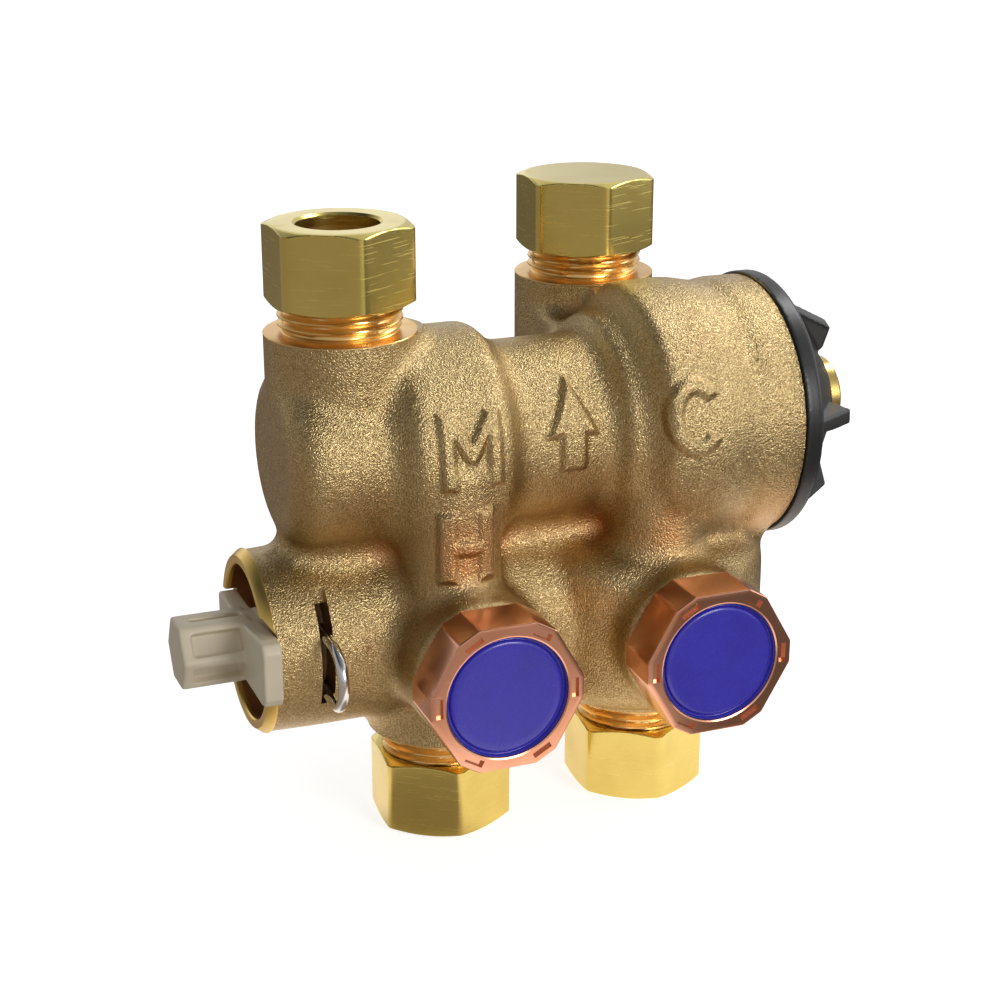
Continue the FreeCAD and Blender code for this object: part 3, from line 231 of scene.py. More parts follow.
bronze = sandCastBronze()
nutBrass = machinedMetal("nutBrass", (0.74, 0.605, 0.185), (0.68, 0.55, 0.16), 0.15)
portGold = machinedMetal("portGold", (0.88, 0.58, 0.23), (0.77, 0.47, 0.16), 0.22, 0.7, 900.0)
capCopper = machinedMetal("capCopper", (0.84, 0.43, 0.29), (0.76, 0.36, 0.22), 0.14, 0.74)
mouthGold = machinedMetal("mouthGold", (0.92, 0.66, 0.20), (0.82, 0.56, 0.15), 0.24, 0.7)
boreBrown = machinedMetal("boreBrown", (0.50, 0.28, 0.12), (0.36, 0.19, 0.08), 0.32, 0.72)
clipChrome = machinedMetal("clipChrome", (0.80, 0.81, 0.83), (0.70, 0.71, 0.73), 0.06, 0.76)
screwBrass = machinedMetal("screwBrass", (0.82, 0.62, 0.22), (0.70, 0.50, 0.15), 0.18, 0.7)
springSteel = machinedMetal("springSteel", (0.55, 0.56, 0.58), (0.42, 0.43, 0.45), 0.22, 0.75)
innerBrass = machinedMetal("innerBrass", (0.70, 0.52, 0.18), (0.55, 0.40, 0.12), 0.25, 0.7)
plugGrey = mouldedPlastic("plugGrey", (0.72, 0.625, 0.465), (0.67, 0.58, 0.43), 0.36)
knobBlack = mouldedPlastic("knobBlack", (0.017, 0.017, 0.018), (0.024, 0.024, 0.025), 0.30, 0.0, 1700.0, 0.3)
sealRubber = mouldedPlastic("sealRubber", (0.012, 0.012, 0.012), (0.02, 0.02, 0.02), 0.5)
cagePlastic = mouldedPlastic("cagePlastic", (0.62, 0.62, 0.60), (0.55, 0.55, 0.53), 0.4)
discBlue = mouldedPlastic("discBlue", (0.046, 0.037, 0.46), (0.041, 0.033, 0.41), 0.22, 0.3, 600.0, 0.02)
print("finishes made")


# A new object of these corners and faces, which rides on a body where one is named
def meshObject(name, points, faces, material, body=None):
    mesh = bpy.data.meshes.new(name)
    mesh.from_pydata([tuple(point) for point in points], [], faces)
    mesh.validate()
    mesh.update()
    piece = bpy.data.objects.new(name, mesh)
    bpy.context.scene.collection.objects.link(piece)
    mesh.materials.append(material)
    mesh.polygons.foreach_set("use_smooth", [True] * len(mesh.polygons))
    if body:
        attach(piece, body)
    return piece


# Keeps the modifiers' result as the piece's own mesh
def settle(piece):
    graph = bpy.context.evaluated_depsgraph_get()
    made = bpy.data.meshes.new_from_object(piece.evaluated_get(graph))
    piece.modifiers.clear()
    piece.data = made
    return piece


def modifier(piece, kind, **settings):
    added = piece.modifiers.new(kind.lower(), kind)
    for name, value in settings.items():
        setattr(added, name, value)
    return added


# Welds loose corners and turns every face outward, as the cuts need
def outward(piece):
    shape = bmesh.new()
    shape.from_mesh(piece.data)
    bmesh.ops.remove_doubles(shape, verts=shape.verts, dist=1e-6)
    bmesh.ops.recalc_face_normals(shape, faces=shape.faces)
    shape.to_mesh(piece.data)
    shape.free()


# Hard edges stay crisp where two faces meet at more than this angle
def crisp(piece, degrees=32.0):
    piece.data.polygons.foreach_set("use_smooth", [True] * len(piece.data.polygons))
    piece.data.set_sharp_from_angle(angle=math.radians(degrees))


# A copy of a solid's mesh to work on
def copyOf(name, title):
    piece = bpy.data.objects.new(title, nodes[name].data.copy())
    bpy.context.scene.collection.objects.link(piece)
    return piece


def paint(piece, material):
    piece.data.materials.clear()
    piece.data.materials.append(material)


# Remakes a mesh in even small faces and rounds its edges a little
def soften(piece, voxel, rounds=0):
    modifier(piece, "REMESH", mode="VOXEL", voxel_size=voxel * mm)
    if rounds:
        modifier(piece, "SMOOTH", factor=0.5, iterations=rounds)
    settle(piece)


# Local (across, across, along) to the frame, for pieces turned about X, Y or Z
def stand(axis, point, place):
    a, b, along = point
    if axis == "X":
        return (place[0] + along, place[1] + a, place[2] + b)
    if axis == "Y":
        return (place[0] + a, place[1] + along, place[2] + b)
    return (place[0] + a, place[1] + b, place[2] + along)


def evenAngles(steps):
    return [2 * math.pi * step / steps for step in range(steps)]


# A form of rings. Each ring is (along, radius), where the radius may be a function of the angle.
def ringForm(rings, angles, axis, place, closed=False):
    points = []
    faces = []
    steps = len(angles)
    for along, radius in rings:
        for angle in angles:
            reach = radius(angle) if callable(radius) else radius
            local = (reach * math.cos(angle) * mm, reach * math.sin(angle) * mm, along * mm)
            points.append(stand(axis, local, place))
    count = len(rings)
    for row in range(count if closed else count - 1):
        lower = row * steps
        upper = (row + 1) % count * steps
        for step in range(steps):
            after = (step + 1) % steps
            faces.append((lower + step, lower + after, upper + after, upper + step))
    if not closed:
        last = (count - 1) * steps
        faces.append(tuple(range(steps)))
        faces.append(tuple(last + step for step in reversed(range(steps))))
    return points, faces


# Several forms as one list of corners and faces
def merged(parts):
    points = []
    faces = []
    for part in parts:
        base = len(points)
        points += part[0]
        faces += [tuple(base + corner for corner in face) for face in part[1]]
    return points, faces


# Rounds the corners of a turned outline given as (along, radius, rounding)
def rounded(outline, turns=5):
    made = []
    count = len(outline)
    for index, corner in enumerate(outline):
        if len(corner) == 2 or index in (0, count - 1):
            made.append((corner[0], corner[1]))
            continue
        here = Vector(corner[:2])
        before = (Vector(outline[index - 1][:2]) - here).normalized()
        after = (Vector(outline[index + 1][:2]) - here).normalized()
        half = before.angle(after) / 2
        reach = corner[2] / math.tan(half)
        centre = here + (before + after).normalized() * (corner[2] / math.sin(half))
        one = here + before * reach - centre
        two = here + after * reach - centre
        span = one.angle_signed(two)
        for turn in range(turns + 1):
            angle = -span * turn / turns
            spoke = Vector((one.x * math.cos(angle) - one.y * math.sin(angle),
                            one.x * math.sin(angle) + one.y * math.cos(angle)))
            made.append(tuple(centre + spoke))
    return made


# Where things stand, in millimetres in the frame
layout = {"plane": 4.0, "upper": 110.4, "lower": 58.9, "spacing": 60.8, "topRim": 143.7, "bottomRim": 28.6,
          "front": 57.5, "column": 20.4}
ports = {
    "outlet": {"across": -25.0, "back": 4.0, "up": True, "turn": 30.65, "bore": True},
    "blank": {"across": 62.6, "back": 44.8, "up": True, "turn": 26.0, "bore": False},
    "hot_inlet": {"across": 0.0, "back": 0.0, "up": False, "turn": 26.0, "bore": True},
    "cold_inlet": {"across": layout["spacing"], "back": 0.0, "up": False, "turn": 26.8, "bore": True},
}


def portPlace(port):
    rim = layout["topRim"] if port["up"] else layout["bottomRim"]
    return (port["across"] * mm, port["back"] * mm, rim * mm)


# Soft smaller of two radii, so a cut edge shows a narrow rounding
def softLess(first, second, width):
    blend = max(width - abs(first - second), 0.0) / width
    return min(first, second) - blend * blend * width / 4


nutSizes = {"flats": 36.0, "turned": 20.35, "chamfer": 2.6, "rise": 1.09, "start": 7.2, "height": 21.4,
            "thread": 16.65, "pipe": 11.1, "edge": 0.5, "wall": 3.4, "mouth": 0.7, "corner": 1.6,
            "web": 22.6, "land": 0.9}


# Reach of a hexagon at an angle, with its corners rounded
def hexagon(flats, turn, rounding=0.0):
    sixth = math.pi / 6
    half = flats / 2
    centre = (half - rounding) / math.cos(sixth)
    limit = sixth - math.atan((half - rounding) * math.tan(sixth) / half)

    def radius(angle):
        inside = (angle - math.radians(turn)) % (2 * sixth)
        away = sixth - abs(inside - sixth)
        if away < limit:
            return centre * math.cos(away) + math.sqrt(rounding ** 2 - (centre * math.sin(away)) ** 2)
        return half / math.cos(inside - sixth)
    return radius


# Angles round a hexagon, close together at its corners
def hexagonAngles(turn, corner=3.0, fine=10, plain=26):
    offsets = [corner * (2 * step / fine - 1) for step in range(fine + 1)]
    offsets += [corner + (60 - 2 * corner) * step / (plain + 1) for step in range(1, plain + 1)]
    return [math.radians(turn + 60 * side + offset) for side in range(6) for offset in offsets]


# One union nut as rings, from its bore out over the faces and back
def unionNut(name, port):
    sizes = nutSizes
    side = 1 if port["up"] else -1
    start = sizes["start"]
    end = start + sizes["height"]
    flat = hexagon(sizes["flats"], port["turn"], sizes["corner"])
    angles = hexagonAngles(port["turn"])
    low = sizes["turned"] - sizes["chamfer"]

    def outside(height):
        near = min(height - start, end - height)
        cone = low + sizes["chamfer"] * min(near / sizes["rise"], 1.0)
        return lambda angle: softLess(flat(angle), cone, sizes["edge"])

    land = low - sizes["land"]
    rings = [(start, sizes["thread"]), (start, land), (start + 0.02, low - 0.25)]
    inset = [sizes["rise"] * part / 8 for part in range(1, 9)] + [1.35, 1.8, 3.5]
    heights = [start + part for part in inset] + [(start + end) / 2]
    heights += [end - part for part in reversed(inset)]
    rings += [(height, outside(height)) for height in heights]
    rings += [(end - 0.02, low - 0.25), (end, land)]
    if port["bore"]:
        pipe = sizes["pipe"]
        mouth = sizes["mouth"]
        foot = end - sizes["wall"]
        rings += [(end, pipe + mouth + 1.2), (end, pipe + mouth), (end - mouth, pipe), (foot, pipe)]
        rings += [(foot, pipe + 0.55), (foot - 3.0, pipe + 2.3), (foot - 4.2, sizes["thread"])]
    else:
        rings += [(end, radius) for radius in (12.0, 6.0, 1.0)]
    rings = [(along * side, radius) for along, radius in rings]
    points, faces = ringForm(rings, angles, "Z", portPlace(port), closed=port["bore"])
    if not port["bore"]:
        # the cap nut's cavity ends in a flat web
        faces = faces[:-2] + [faces[-1]]
        web = sizes["web"]
        cavity = [(web, 1.0), (web, sizes["thread"]), (start, sizes["thread"])]
        cavity = [(along * side, radius) for along, radius in cavity]
        points, faces = merged([(points, faces), ringForm(cavity, angles, "Z", portPlace(port))])
        faces = faces[:-1]
    nut = meshObject(name + "_union_nut", points, faces, nutBrass, "valve")
    outward(nut)
    crisp(nut, 24.0)
    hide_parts(name + "_nut")


portSizes = {"root": 15.3, "depth": 1.3, "pitch": 2.31, "start": 0.9, "end": 8.6, "steps": 160, "rows": 6,
             "spigot": 16.6, "tip": 20.6, "pipe": 11.1, "waterway": 9.6}


# Machined port: rim, rolled helical thread, spigot and bore
def portEnd(name, port):
    sizes = portSizes
    side = 1 if port["up"] else -1
    rim = layout["column"]
    root = sizes["root"]

    def thread(height):
        def radius(angle):
            turn = (height / sizes["pitch"] - side * angle / (2 * math.pi)) % 1.0
            crest = (1 - abs(turn * 2 - 1)) * 1.5 - 0.2
            fade = min(max((height - 0.5) / 1.2, 0.0), 1.0)
            return root + sizes["depth"] * min(max(crest, 0.0), 1.0) * fade
        return radius

    rings = [(-2.0, 12.0), (-2.0, rim - 3.2), (-0.5, rim - 0.4), (-0.42, rim - 0.05), (-0.3, rim),
             (-0.22, rim - 0.03), (-0.05, rim - 0.2), (0.0, rim - 0.5), (0.0, rim - 2.5), (0.0, root + 0.25),
             (0.3, root)]
    length = sizes["end"] - sizes["start"]
    count = int(length / sizes["pitch"] * sizes["rows"])
    for row in range(count + 1):
        height = sizes["start"] + length * row / count
        rings.append((height, thread(height)))
    spigot = sizes["spigot"]
    tip = sizes["tip"]
    pipe = sizes["pipe"]
    waterway = sizes["waterway"]
    rings += [(9.0, spigot), (tip - 0.6, spigot), (tip, spigot - 0.6)]
    if port["bore"]:
        rings += [(tip, 13.3), (13.6, pipe + 0.5), (10.0, pipe), (0.0, pipe), (0.0, waterway)]
    else:
        rings.append((tip, waterway))
    rings.append((-2.0, waterway))
    rings = [(along * side, radius) for along, radius in rings]
    points, faces = ringForm(rings, evenAngles(sizes["steps"]), "Z", portPlace(port), closed=True)
    piece = meshObject(name + "_port", points, faces, portGold, "valve")
    outward(piece)
    crisp(piece, 30.0)


for name, port in ports.items():
    unionNut(name, port)
    portEnd(name, port)
print("nuts and ports made")


# Hexagon caps with flattened corners, a recess for the disc and six slots
capSizes = {"face": 53.0, "length": 14.5, "flats": 40.0, "corners": 42.6, "skirt": 17.05, "recess": 2.0,
            "recessRadius": 16.75, "edge": 0.55, "slotPlace": 18.75, "slotWidth": 1.9, "slotLength": 5.4,
            "slotDepth": 1.1, "steps": 360}


def checkCap(name, across):
    sizes = capSizes
    face = -sizes["face"]
    back = face + sizes["length"]
    floor = face + sizes["recess"]
    skirt = sizes["skirt"]
    recess = sizes["recessRadius"]
    edge = sizes["edge"]
    flats = hexagon(sizes["flats"], 0.0)
    corners = hexagon(sizes["corners"], 30.0)

    def outside(inset):
        return lambda angle: softLess(flats(angle), corners(angle), 0.25) - inset

    rings = [(face + 6.5, 0.6), (face + 6.5, skirt), (back, skirt), (back, outside(2.0)),
             (back - 0.1, outside(0.9)), (back - 0.5, outside(0.25)), (back - 0.9, outside(0.0)),
             (face + edge, outside(0.0)), (face + edge * 0.42, outside(edge * 0.14)),
             (face + edge * 0.14, outside(edge * 0.42)), (face, outside(edge)), (face, outside(1.6)),
             (face, recess + 0.5), (face + 0.2, recess + 0.1), (face + 0.5, recess), (floor, recess),
             (floor, 0.6)]
    place = (across * mm, 0.0, layout["front"] * mm)
    points, faces = ringForm(rings, evenAngles(sizes["steps"]), "Y", place)
    cap = meshObject(name + "_cap", points, faces, capCopper, "valve")
    outward(cap)
    wide = sizes["slotWidth"] * mm
    deep = sizes["slotDepth"] * 2 * mm
    slot = Matrix.Diagonal((wide, deep, sizes["slotLength"] * mm, 1))
    slots = []
    for number in range(6):
        angle = math.radians(60.0 * number)
        spoke = Vector((math.cos(angle), 0, math.sin(angle)))
        centre = Vector((across, face, layout["front"])) + sizes["slotPlace"] * spoke
        slots.append(boxPart(Matrix.Translation(centre * mm) @ Matrix.Rotation(-angle, 4, "Y") @ slot))
    cutForms(cap, slots)
    crisp(cap, 24.0)
    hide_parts(name + "_check_cap")


# A box from a matrix that turns, sizes and places a unit cube
def boxPart(shape):
    corners = [shape @ Vector((x, y, z)) for x in (-0.5, 0.5) for y in (-0.5, 0.5) for z in (-0.5, 0.5)]
    faces = [(0, 1, 3, 2), (4, 6, 7, 5), (0, 4, 5, 1), (2, 3, 7, 6), (0, 2, 6, 4), (1, 5, 7, 3)]
    return [tuple(corner) for corner in corners], faces


# A straight form with the same outline at both ends, along X or Y
def prism(outline, low, high, axis):
    points = []
    for along in (low, high):
        for first, second in outline:
            spot = (along, first, second) if axis == "X" else (first, along, second)
            points.append(tuple(part * mm for part in spot))
    count = len(outline)
    faces = [tuple(range(count)), tuple(reversed(range(count, 2 * count)))]
    faces += [(step, count + step, count + (step + 1) % count, (step + 1) % count) for step in range(count)]
    return points, faces


# An upright block between two opposite corners
def block(low, high):
    low = Vector(low)
    high = Vector(high)
    return boxPart(Matrix.Translation((low + high) / 2 * mm) @ Matrix.Diagonal((*((high - low) * mm), 1)))


# Cuts closed forms out of a piece
def cutForms(piece, parts, finish=None):
    cutters = []
    for part in parts:
        cutter = meshObject("cutter", part[0], part[1], finish or piece.data.materials[0])
        outward(cutter)
        modifier(piece, "BOOLEAN", operation="DIFFERENCE", object=cutter, solver="MANIFOLD",
                 material_mode="TRANSFER")
        cutters.append(cutter)
    settle(piece)
    for cutter in cutters:
        bpy.data.objects.remove(cutter)


discSizes = {"radius": 16.7, "seat": 51.0, "rim": 1.6, "groove": 1.1, "rise": 1.2, "edge": 1.2, "dish": 0.35,
             "steps": 128}


# Coloured disc: a raised face with a rounded edge inside a narrow groove
def capDisc(name, across):
    sizes = discSizes
    radius = sizes["radius"]
    seat = -sizes["seat"]
    rim = seat - sizes["rim"]
    face = seat - sizes["rise"]
    inner = radius - sizes["groove"]
    edge = sizes["edge"]
    rings = [(seat, 0.3), (seat, radius), (rim + 0.1, radius), (rim, radius - 0.1),
             (rim + 0.1, radius - 0.22), (seat - 0.35, radius - 0.3), (seat - 0.2, radius - 0.45),
             (seat - 0.2, inner + 0.15), (seat - 0.35, inner)]
    for step in range(7):
        angle = math.pi / 2 * step / 6
        rings.append((face + edge * (1 - math.sin(angle)) * 0.7, inner - edge * (1 - math.cos(angle))))
    for part in (0.9, 0.8, 0.65, 0.5, 0.35, 0.2, 0.03):
        rings.append((face + sizes["dish"] * (1 - part * part), (inner - edge) * part))
    place = (across * mm, 0.0, layout["front"] * mm)
    points, faces = ringForm(rings, evenAngles(sizes["steps"]), "Y", place)
    disc = meshObject(name + "_disc", points, faces, discBlue, "valve")
    outward(disc)
    crisp(disc, 50.0)
    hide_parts(name + "_cap_disc")


for name, across in (("hot", 0.0), ("cold", layout["spacing"])):
    checkCap(name, across)
    capDisc(name, across)
print("caps and discs made")

# Casting: the same barrels, chambers and columns as the solid, run together with soft fillets
castSizes = {"voxel": 1.2, "fillet": 2.8, "smoothing": 5, "fineVoxel": 1.09, "chamberBack": 1.5,
             "bossFront": -38.1, "riser": 13.5, "riserSide": -2.0, "riserBack": -16.0}
# Turned outlines as (along, radius, rounding)
upperOutline = [(-45.0, 0.5), (-45.0, 25.4, 9.0), (-19.0, 25.4), (-13.0, 31.4, 3.0), (11.0, 31.4, 3.0),
                (17.0, 25.4), (43.5, 25.4), (46.7, 30.6, 1.0), (50.2, 30.6, 1.0), (56.0, 38.0, 2.0),
                (72.0, 38.2, 2.0), (82.0, 36.2, 0.6), (85.2, 37.2, 0.8), (99.0, 37.0), (99.0, 0.5)]
lowerOutline = [(-60.0, 0.5), (-60.0, 24.8), (-40.0, 25.4), (60.8, 25.4), (60.8, 0.5)]
chamberOutline = [(-26.0, 0.5), (-26.0, 36.5, 10.0), (21.0, 36.5, 10.0), (21.0, 0.5)]


# A round column from low to high; across and back are its place on the other two axes
def column(across, back, low, high, radius, axis="Z"):
    place = {"Z": (across, back, 0), "Y": (across, 0, back), "X": (0, across, back)}[axis]
    rings = [(low, 0.5), (low, radius), (high, radius), (high, 0.5)]
    return ringForm(rings, evenAngles(96), axis, tuple(item * mm for item in place))


def turnedPart(outline, axis, place):
    return ringForm(rounded(outline), evenAngles(160), axis, tuple(item * mm for item in place))


def castingForms():
    sizes = castSizes
    plane = layout["plane"]
    upper = layout["upper"]
    lower = layout["lower"]
    front = layout["front"]
    reach = layout["column"]
    chamberPlace = (layout["spacing"], sizes["chamberBack"], lower)
    forms = [turnedPart(upperOutline, "X", (0, plane, upper)),
             turnedPart(lowerOutline, "X", (0, plane, lower)),
             turnedPart(chamberOutline, "Z", chamberPlace)]
    for port in ports.values():
        if port["up"]:
            forms.append(column(port["across"], port["back"], upper, layout["topRim"] + 5.0, reach))
        else:
            forms.append(column(port["across"], port["back"], layout["bottomRim"] - 5.0, lower, reach))
    # the closed branch runs to the back and turns up in a round elbow
    branch = ports["blank"]
    forms.append(column(branch["across"], upper, plane, branch["back"], reach, "Y"))
    slopes = [math.radians(part) for part in range(-88, 89, 8)]
    ball = [(reach * math.sin(slope), reach * math.cos(slope)) for slope in slopes]
    elbow = (branch["across"] * mm, branch["back"] * mm, upper * mm)
    forms.append(ringForm(ball, evenAngles(96), "Z", elbow))
    for across in (0.0, layout["spacing"]):
        riserAcross = across + sizes["riserSide"]
        forms.append(column(across, front, sizes["bossFront"], plane, reach, "Y"))
        forms.append(column(riserAcross, sizes["riserBack"], front, upper, sizes["riser"]))
    # the web that joins the two barrels
    forms.append(block((-33.0, plane - 12.0, 74.0), (85.0, plane + 12.0, 98.0)))
    # the pad beside the cold chamber that carries the rear branch
    forms.append(block((43.5, 16.0, upper), (83.0, branch["back"], 135.0)))
    return forms


# Grows the joined forms and shrinks them again, which fills their corners with fillets
def casting():
    points, faces = merged(castingForms())
    piece = meshObject("valve_casting", points, faces, bronze)
    outward(piece)
    sizes = castSizes
    voxel = sizes["voxel"] * mm
    fillet = sizes["fillet"] * mm
    modifier(piece, "REMESH", mode="VOXEL", voxel_size=voxel)
    modifier(piece, "DISPLACE", strength=fillet, mid_level=0.0)
    modifier(piece, "REMESH", mode="VOXEL", voxel_size=voxel)
    modifier(piece, "DISPLACE", strength=-fillet, mid_level=0.0)
    soften(piece, sizes["fineVoxel"], sizes["smoothing"])
    print("casting", len(piece.data.polygons), "faces")
    return piece


creaseSizes = {"rounds": 14, "spread": 5, "low": 0.28, "high": 0.95}
# Patches of warm reflected light painted on the cast skin
reflectedWarmPatches = [{"at": (-2.0, -24.0, 90.0), "reach": 13.0, "strength": 0.75},
          {"at": (92.0, -24.0, 86.0), "reach": 16.0, "strength": 0.55},
          {"at": (78.0, 22.0, 140.0), "reach": 17.0, "strength": 0.5},
          {"at": (30.0, -19.0, 90.0), "reach": 12.0, "strength": 0.5},
          {"at": (-2.0, -28.0, 72.0), "reach": 12.0, "strength": 0.4},
          {"at": (58.0, -30.0, 84.0), "reach": 13.0, "strength": 0.4}]


# Places and normals of a mesh's points, in metres
def meshArrays(mesh):
    places = np.zeros(len(mesh.vertices) * 3)
    normals = np.zeros(len(mesh.vertices) * 3)
    mesh.vertices.foreach_get("co", places)
    mesh.vertices.foreach_get("normal", normals)
    return places.reshape(-1, 3), normals.reshape(-1, 3)


# Marks how deep a point lies in a hollow between two forms, for the warm reflected light painted there
def markCreases(piece):
    sizes = creaseSizes
    mesh = piece.data
    places, normals = meshArrays(mesh)
    places = places * 1000
    count = len(places)
    edges = np.zeros(len(mesh.edges) * 2, dtype=np.int32)
    mesh.edges.foreach_get("vertices", edges)
    first, second = edges.reshape(-1, 2).T
    share = np.bincount(first, minlength=count) + np.bincount(second, minlength=count)
    share = np.maximum(share, 1)

    def average(values):
        total = np.bincount(first, values[second], count) + np.bincount(second, values[first], count)
        return total / share

    smooth = places.copy()
    for _ in range(sizes["rounds"]):
        smooth = np.stack([average(smooth[:, side]) for side in range(3)], axis=1)
    depth = ((smooth - places) * normals).sum(1)
    for _ in range(sizes["spread"]):
        depth = average(depth)
    crease = np.clip((depth - sizes["low"]) / (sizes["high"] - sizes["low"]), 0, 1)
    # patches of painted warm reflected light join the hollows' value
    for stainAndPaintedPatch in reflectedWarmPatches:
        away = np.linalg.norm(places - np.array(stainAndPaintedPatch["at"]), axis=1)
        crease = np.maximum(crease, stainAndPaintedPatch["strength"] * np.clip(1.4 - away / stainAndPaintedPatch["reach"], 0, 1))
    attribute = mesh.attributes.new("crease", "FLOAT", "POINT")
    attribute.data.foreach_set("value", crease.astype(np.float32))
    print("creases marked, deepest", round(float(depth.max()), 2), "mm")


# An open ring from the edge of its opening round to the other edge
def openRing(across, tall, opening, count=30):
    spread = [opening + (2 * math.pi - 2 * opening) * step / count for step in range(count + 1)]
    return [(across * math.cos(angle), tall * math.sin(angle)) for angle in spread]


# Raised cast marks: mixed water, hot, cold and the way of the flow, as outlines across and up
markSizes = {"rise": 1.35, "soft": 1.15, "cuts": 3, "margin": 1.8}
marks = [
    {"at": (0.0, 116.2), "outline": [(-8.3, -9.3), (-4.7, -9.3), (-4.7, 2.8), (-0.8, -3.4), (0.8, -3.4),
                                     (4.7, 2.8), (4.7, -9.3), (8.3, -9.3), (8.3, 9.3), (4.9, 9.3),
                                     (0.0, 2.1), (-4.9, 9.3), (-8.3, 9.3)]},
    {"at": (-2.0, 90.7), "outline": [(-7.3, -9.4), (-3.2, -9.4), (-3.2, -1.9), (3.2, -1.9), (3.2, -9.4),
                                     (7.3, -9.4), (7.3, 9.4), (3.2, 9.4), (3.2, 1.9), (-3.2, 1.9),
                                     (-3.2, 9.4), (-7.3, 9.4)]},
    {"at": (31.3, 114.8), "outline": [(-3.4, -9.0), (3.4, -9.0), (3.4, 0.5), (6.8, 0.5), (0.0, 14.0),
                                      (-6.8, 0.5), (-3.4, 0.5)]},
    {"at": (61.9, 119.8), "outline": openRing(8.0, 9.9, 0.62) + list(reversed(openRing(4.4, 6.3, 0.78)))},
]


# How far points lie inside a closed outline; negative outside
def insideDepth(points, outline):
    corners = np.array(outline)
    after = np.roll(corners, -1, axis=0)
    nearest = np.full(len(points), 1e9)
    inside = np.zeros(len(points), bool)
    for start, end in zip(corners, after):
        edge = end - start
        along = np.clip(((points - start) @ edge) / (edge @ edge), 0, 1)
        away = np.hypot(*(points - start - along[:, None] * edge).T)
        nearest = np.minimum(nearest, away)
        crosses = (start[1] > points[:, 1]) != (end[1] > points[:, 1])
        rise = edge[1] if abs(edge[1]) > 1e-9 else 1e-9
        reach = start[0] + (points[:, 1] - start[1]) / rise * edge[0]
        inside ^= crosses & (points[:, 0] < reach)
    return np.where(inside, nearest, -nearest)


# The patch of the front that a mark takes, with a margin
def markArea(mark):
    corners = np.array(mark["outline"]) + mark["at"]
    return corners.min(0) - markSizes["margin"], corners.max(0) + markSizes["margin"]


# Splits the faces under the marks, so that their edges come out clean
def refineFront(piece, areas):
    shape = bmesh.new()
    shape.from_mesh(piece.data)
    chosen = set()
    for face in shape.faces:
        middle = face.calc_center_median() * 1000
        if face.normal.y > -0.25 or middle.y > -8:
            continue
        for low, high in areas:
            if low[0] < middle.x < high[0] and low[1] < middle.z < high[1]:
                chosen.update(face.edges)
    bmesh.ops.subdivide_edges(shape, edges=list(chosen), cuts=markSizes["cuts"], use_grid_fill=True)
    shape.to_mesh(piece.data)
    shape.free()


def raiseMarks(piece):
    soft = markSizes["soft"]
    areas = [markArea(mark) for mark in marks]
    refineFront(piece, areas)
    places, normals = meshArrays(piece.data)
    flat = places[:, [0, 2]] * 1000
    front = (normals[:, 1] < -0.2) & (places[:, 1] < -0.008)
    lift = np.zeros(len(places))
    for mark, (low, high) in zip(marks, areas):
        near = front & (flat > low).all(1) & (flat < high).all(1)
        depth = insideDepth(flat[near] - np.array(mark["at"]), mark["outline"])
        step = np.clip((depth + soft) / (2 * soft), 0, 1)
        lift[near] = np.maximum(lift[near], step * step * (3 - 2 * step))
    places += normals * (lift * markSizes["rise"] * mm)[:, None]
    piece.data.vertices.foreach_set("co", places.ravel())
    piece.data.update()
    print("marks raised:", len(marks))


# Bores along the barrels as (radius, from, to), and across them by radius
barrelBores = {"upper": [(15.0, -36.0, -13.0), (19.05, -14.0, 96.0), (29.05, 55.0, 99.0)],
               "lower": [(21.3, -60.0, -47.1), (17.05, -50.0, -20.0)]}
crossBores = {"waterway": 9.6, "check": 13.05, "riser": 7.0}
# Ends faced flat, just inside the machined pieces that stand on them
facings = {"port": 0.4, "knobEnd": 95.1, "mouthEnd": -53.0, "boss": -38.2}
clipSlot = {"left": -40.1, "right": -36.5, "low": 47.9, "high": 73.9, "pocketLow": 73.4, "pocketHigh": 82.0,
            "pocketBack": -12.0}
barSlot = {"left": -62.7, "right": -51.3, "half": 7.9}
# The notch opens out above the bar, in front; its outline across and up
flareOutline = [(-64.0, 60.0), (-51.4, 60.0), (-51.4, 69.4), (-54.3, 73.2), (-64.0, 74.0)]
cutReach = 30.0


# The notch for the plug's bar across the end of the flushing port
def barNotch():
    plane = layout["plane"]
    lower = layout["lower"]
    across = block((barSlot["left"], plane - cutReach, lower - barSlot["half"]),
                   (barSlot["right"], plane + cutReach, lower + barSlot["half"]))
    return [across, prism(flareOutline, plane - cutReach, plane, "Y")]


# Flat ends of the ports, bosses and barrels
def faceEnds(piece):
    top = layout["topRim"] - facings["port"]
    bottom = layout["bottomRim"] + facings["port"]
    plane = layout["plane"]
    knobEnd = facings["knobEnd"]
    mouthEnd = facings["mouthEnd"]
    ends = []
    for port in ports.values():
        if port["up"]:
            ends.append(column(port["across"], port["back"], top, top + 20, 30.0))
        else:
            ends.append(column(port["across"], port["back"], bottom - 20, bottom, 29.0))
    ends.append(column(plane, layout["upper"], knobEnd, knobEnd + 9.9, 38.7, "X"))
    ends.append(column(plane, layout["lower"], mouthEnd - 17.0, mouthEnd, 32.0, "X"))
    for across in (0.0, layout["spacing"]):
        ends.append(column(across, layout["front"], -50.0, facings["boss"], 21.5, "Y"))
    cutForms(piece, ends)


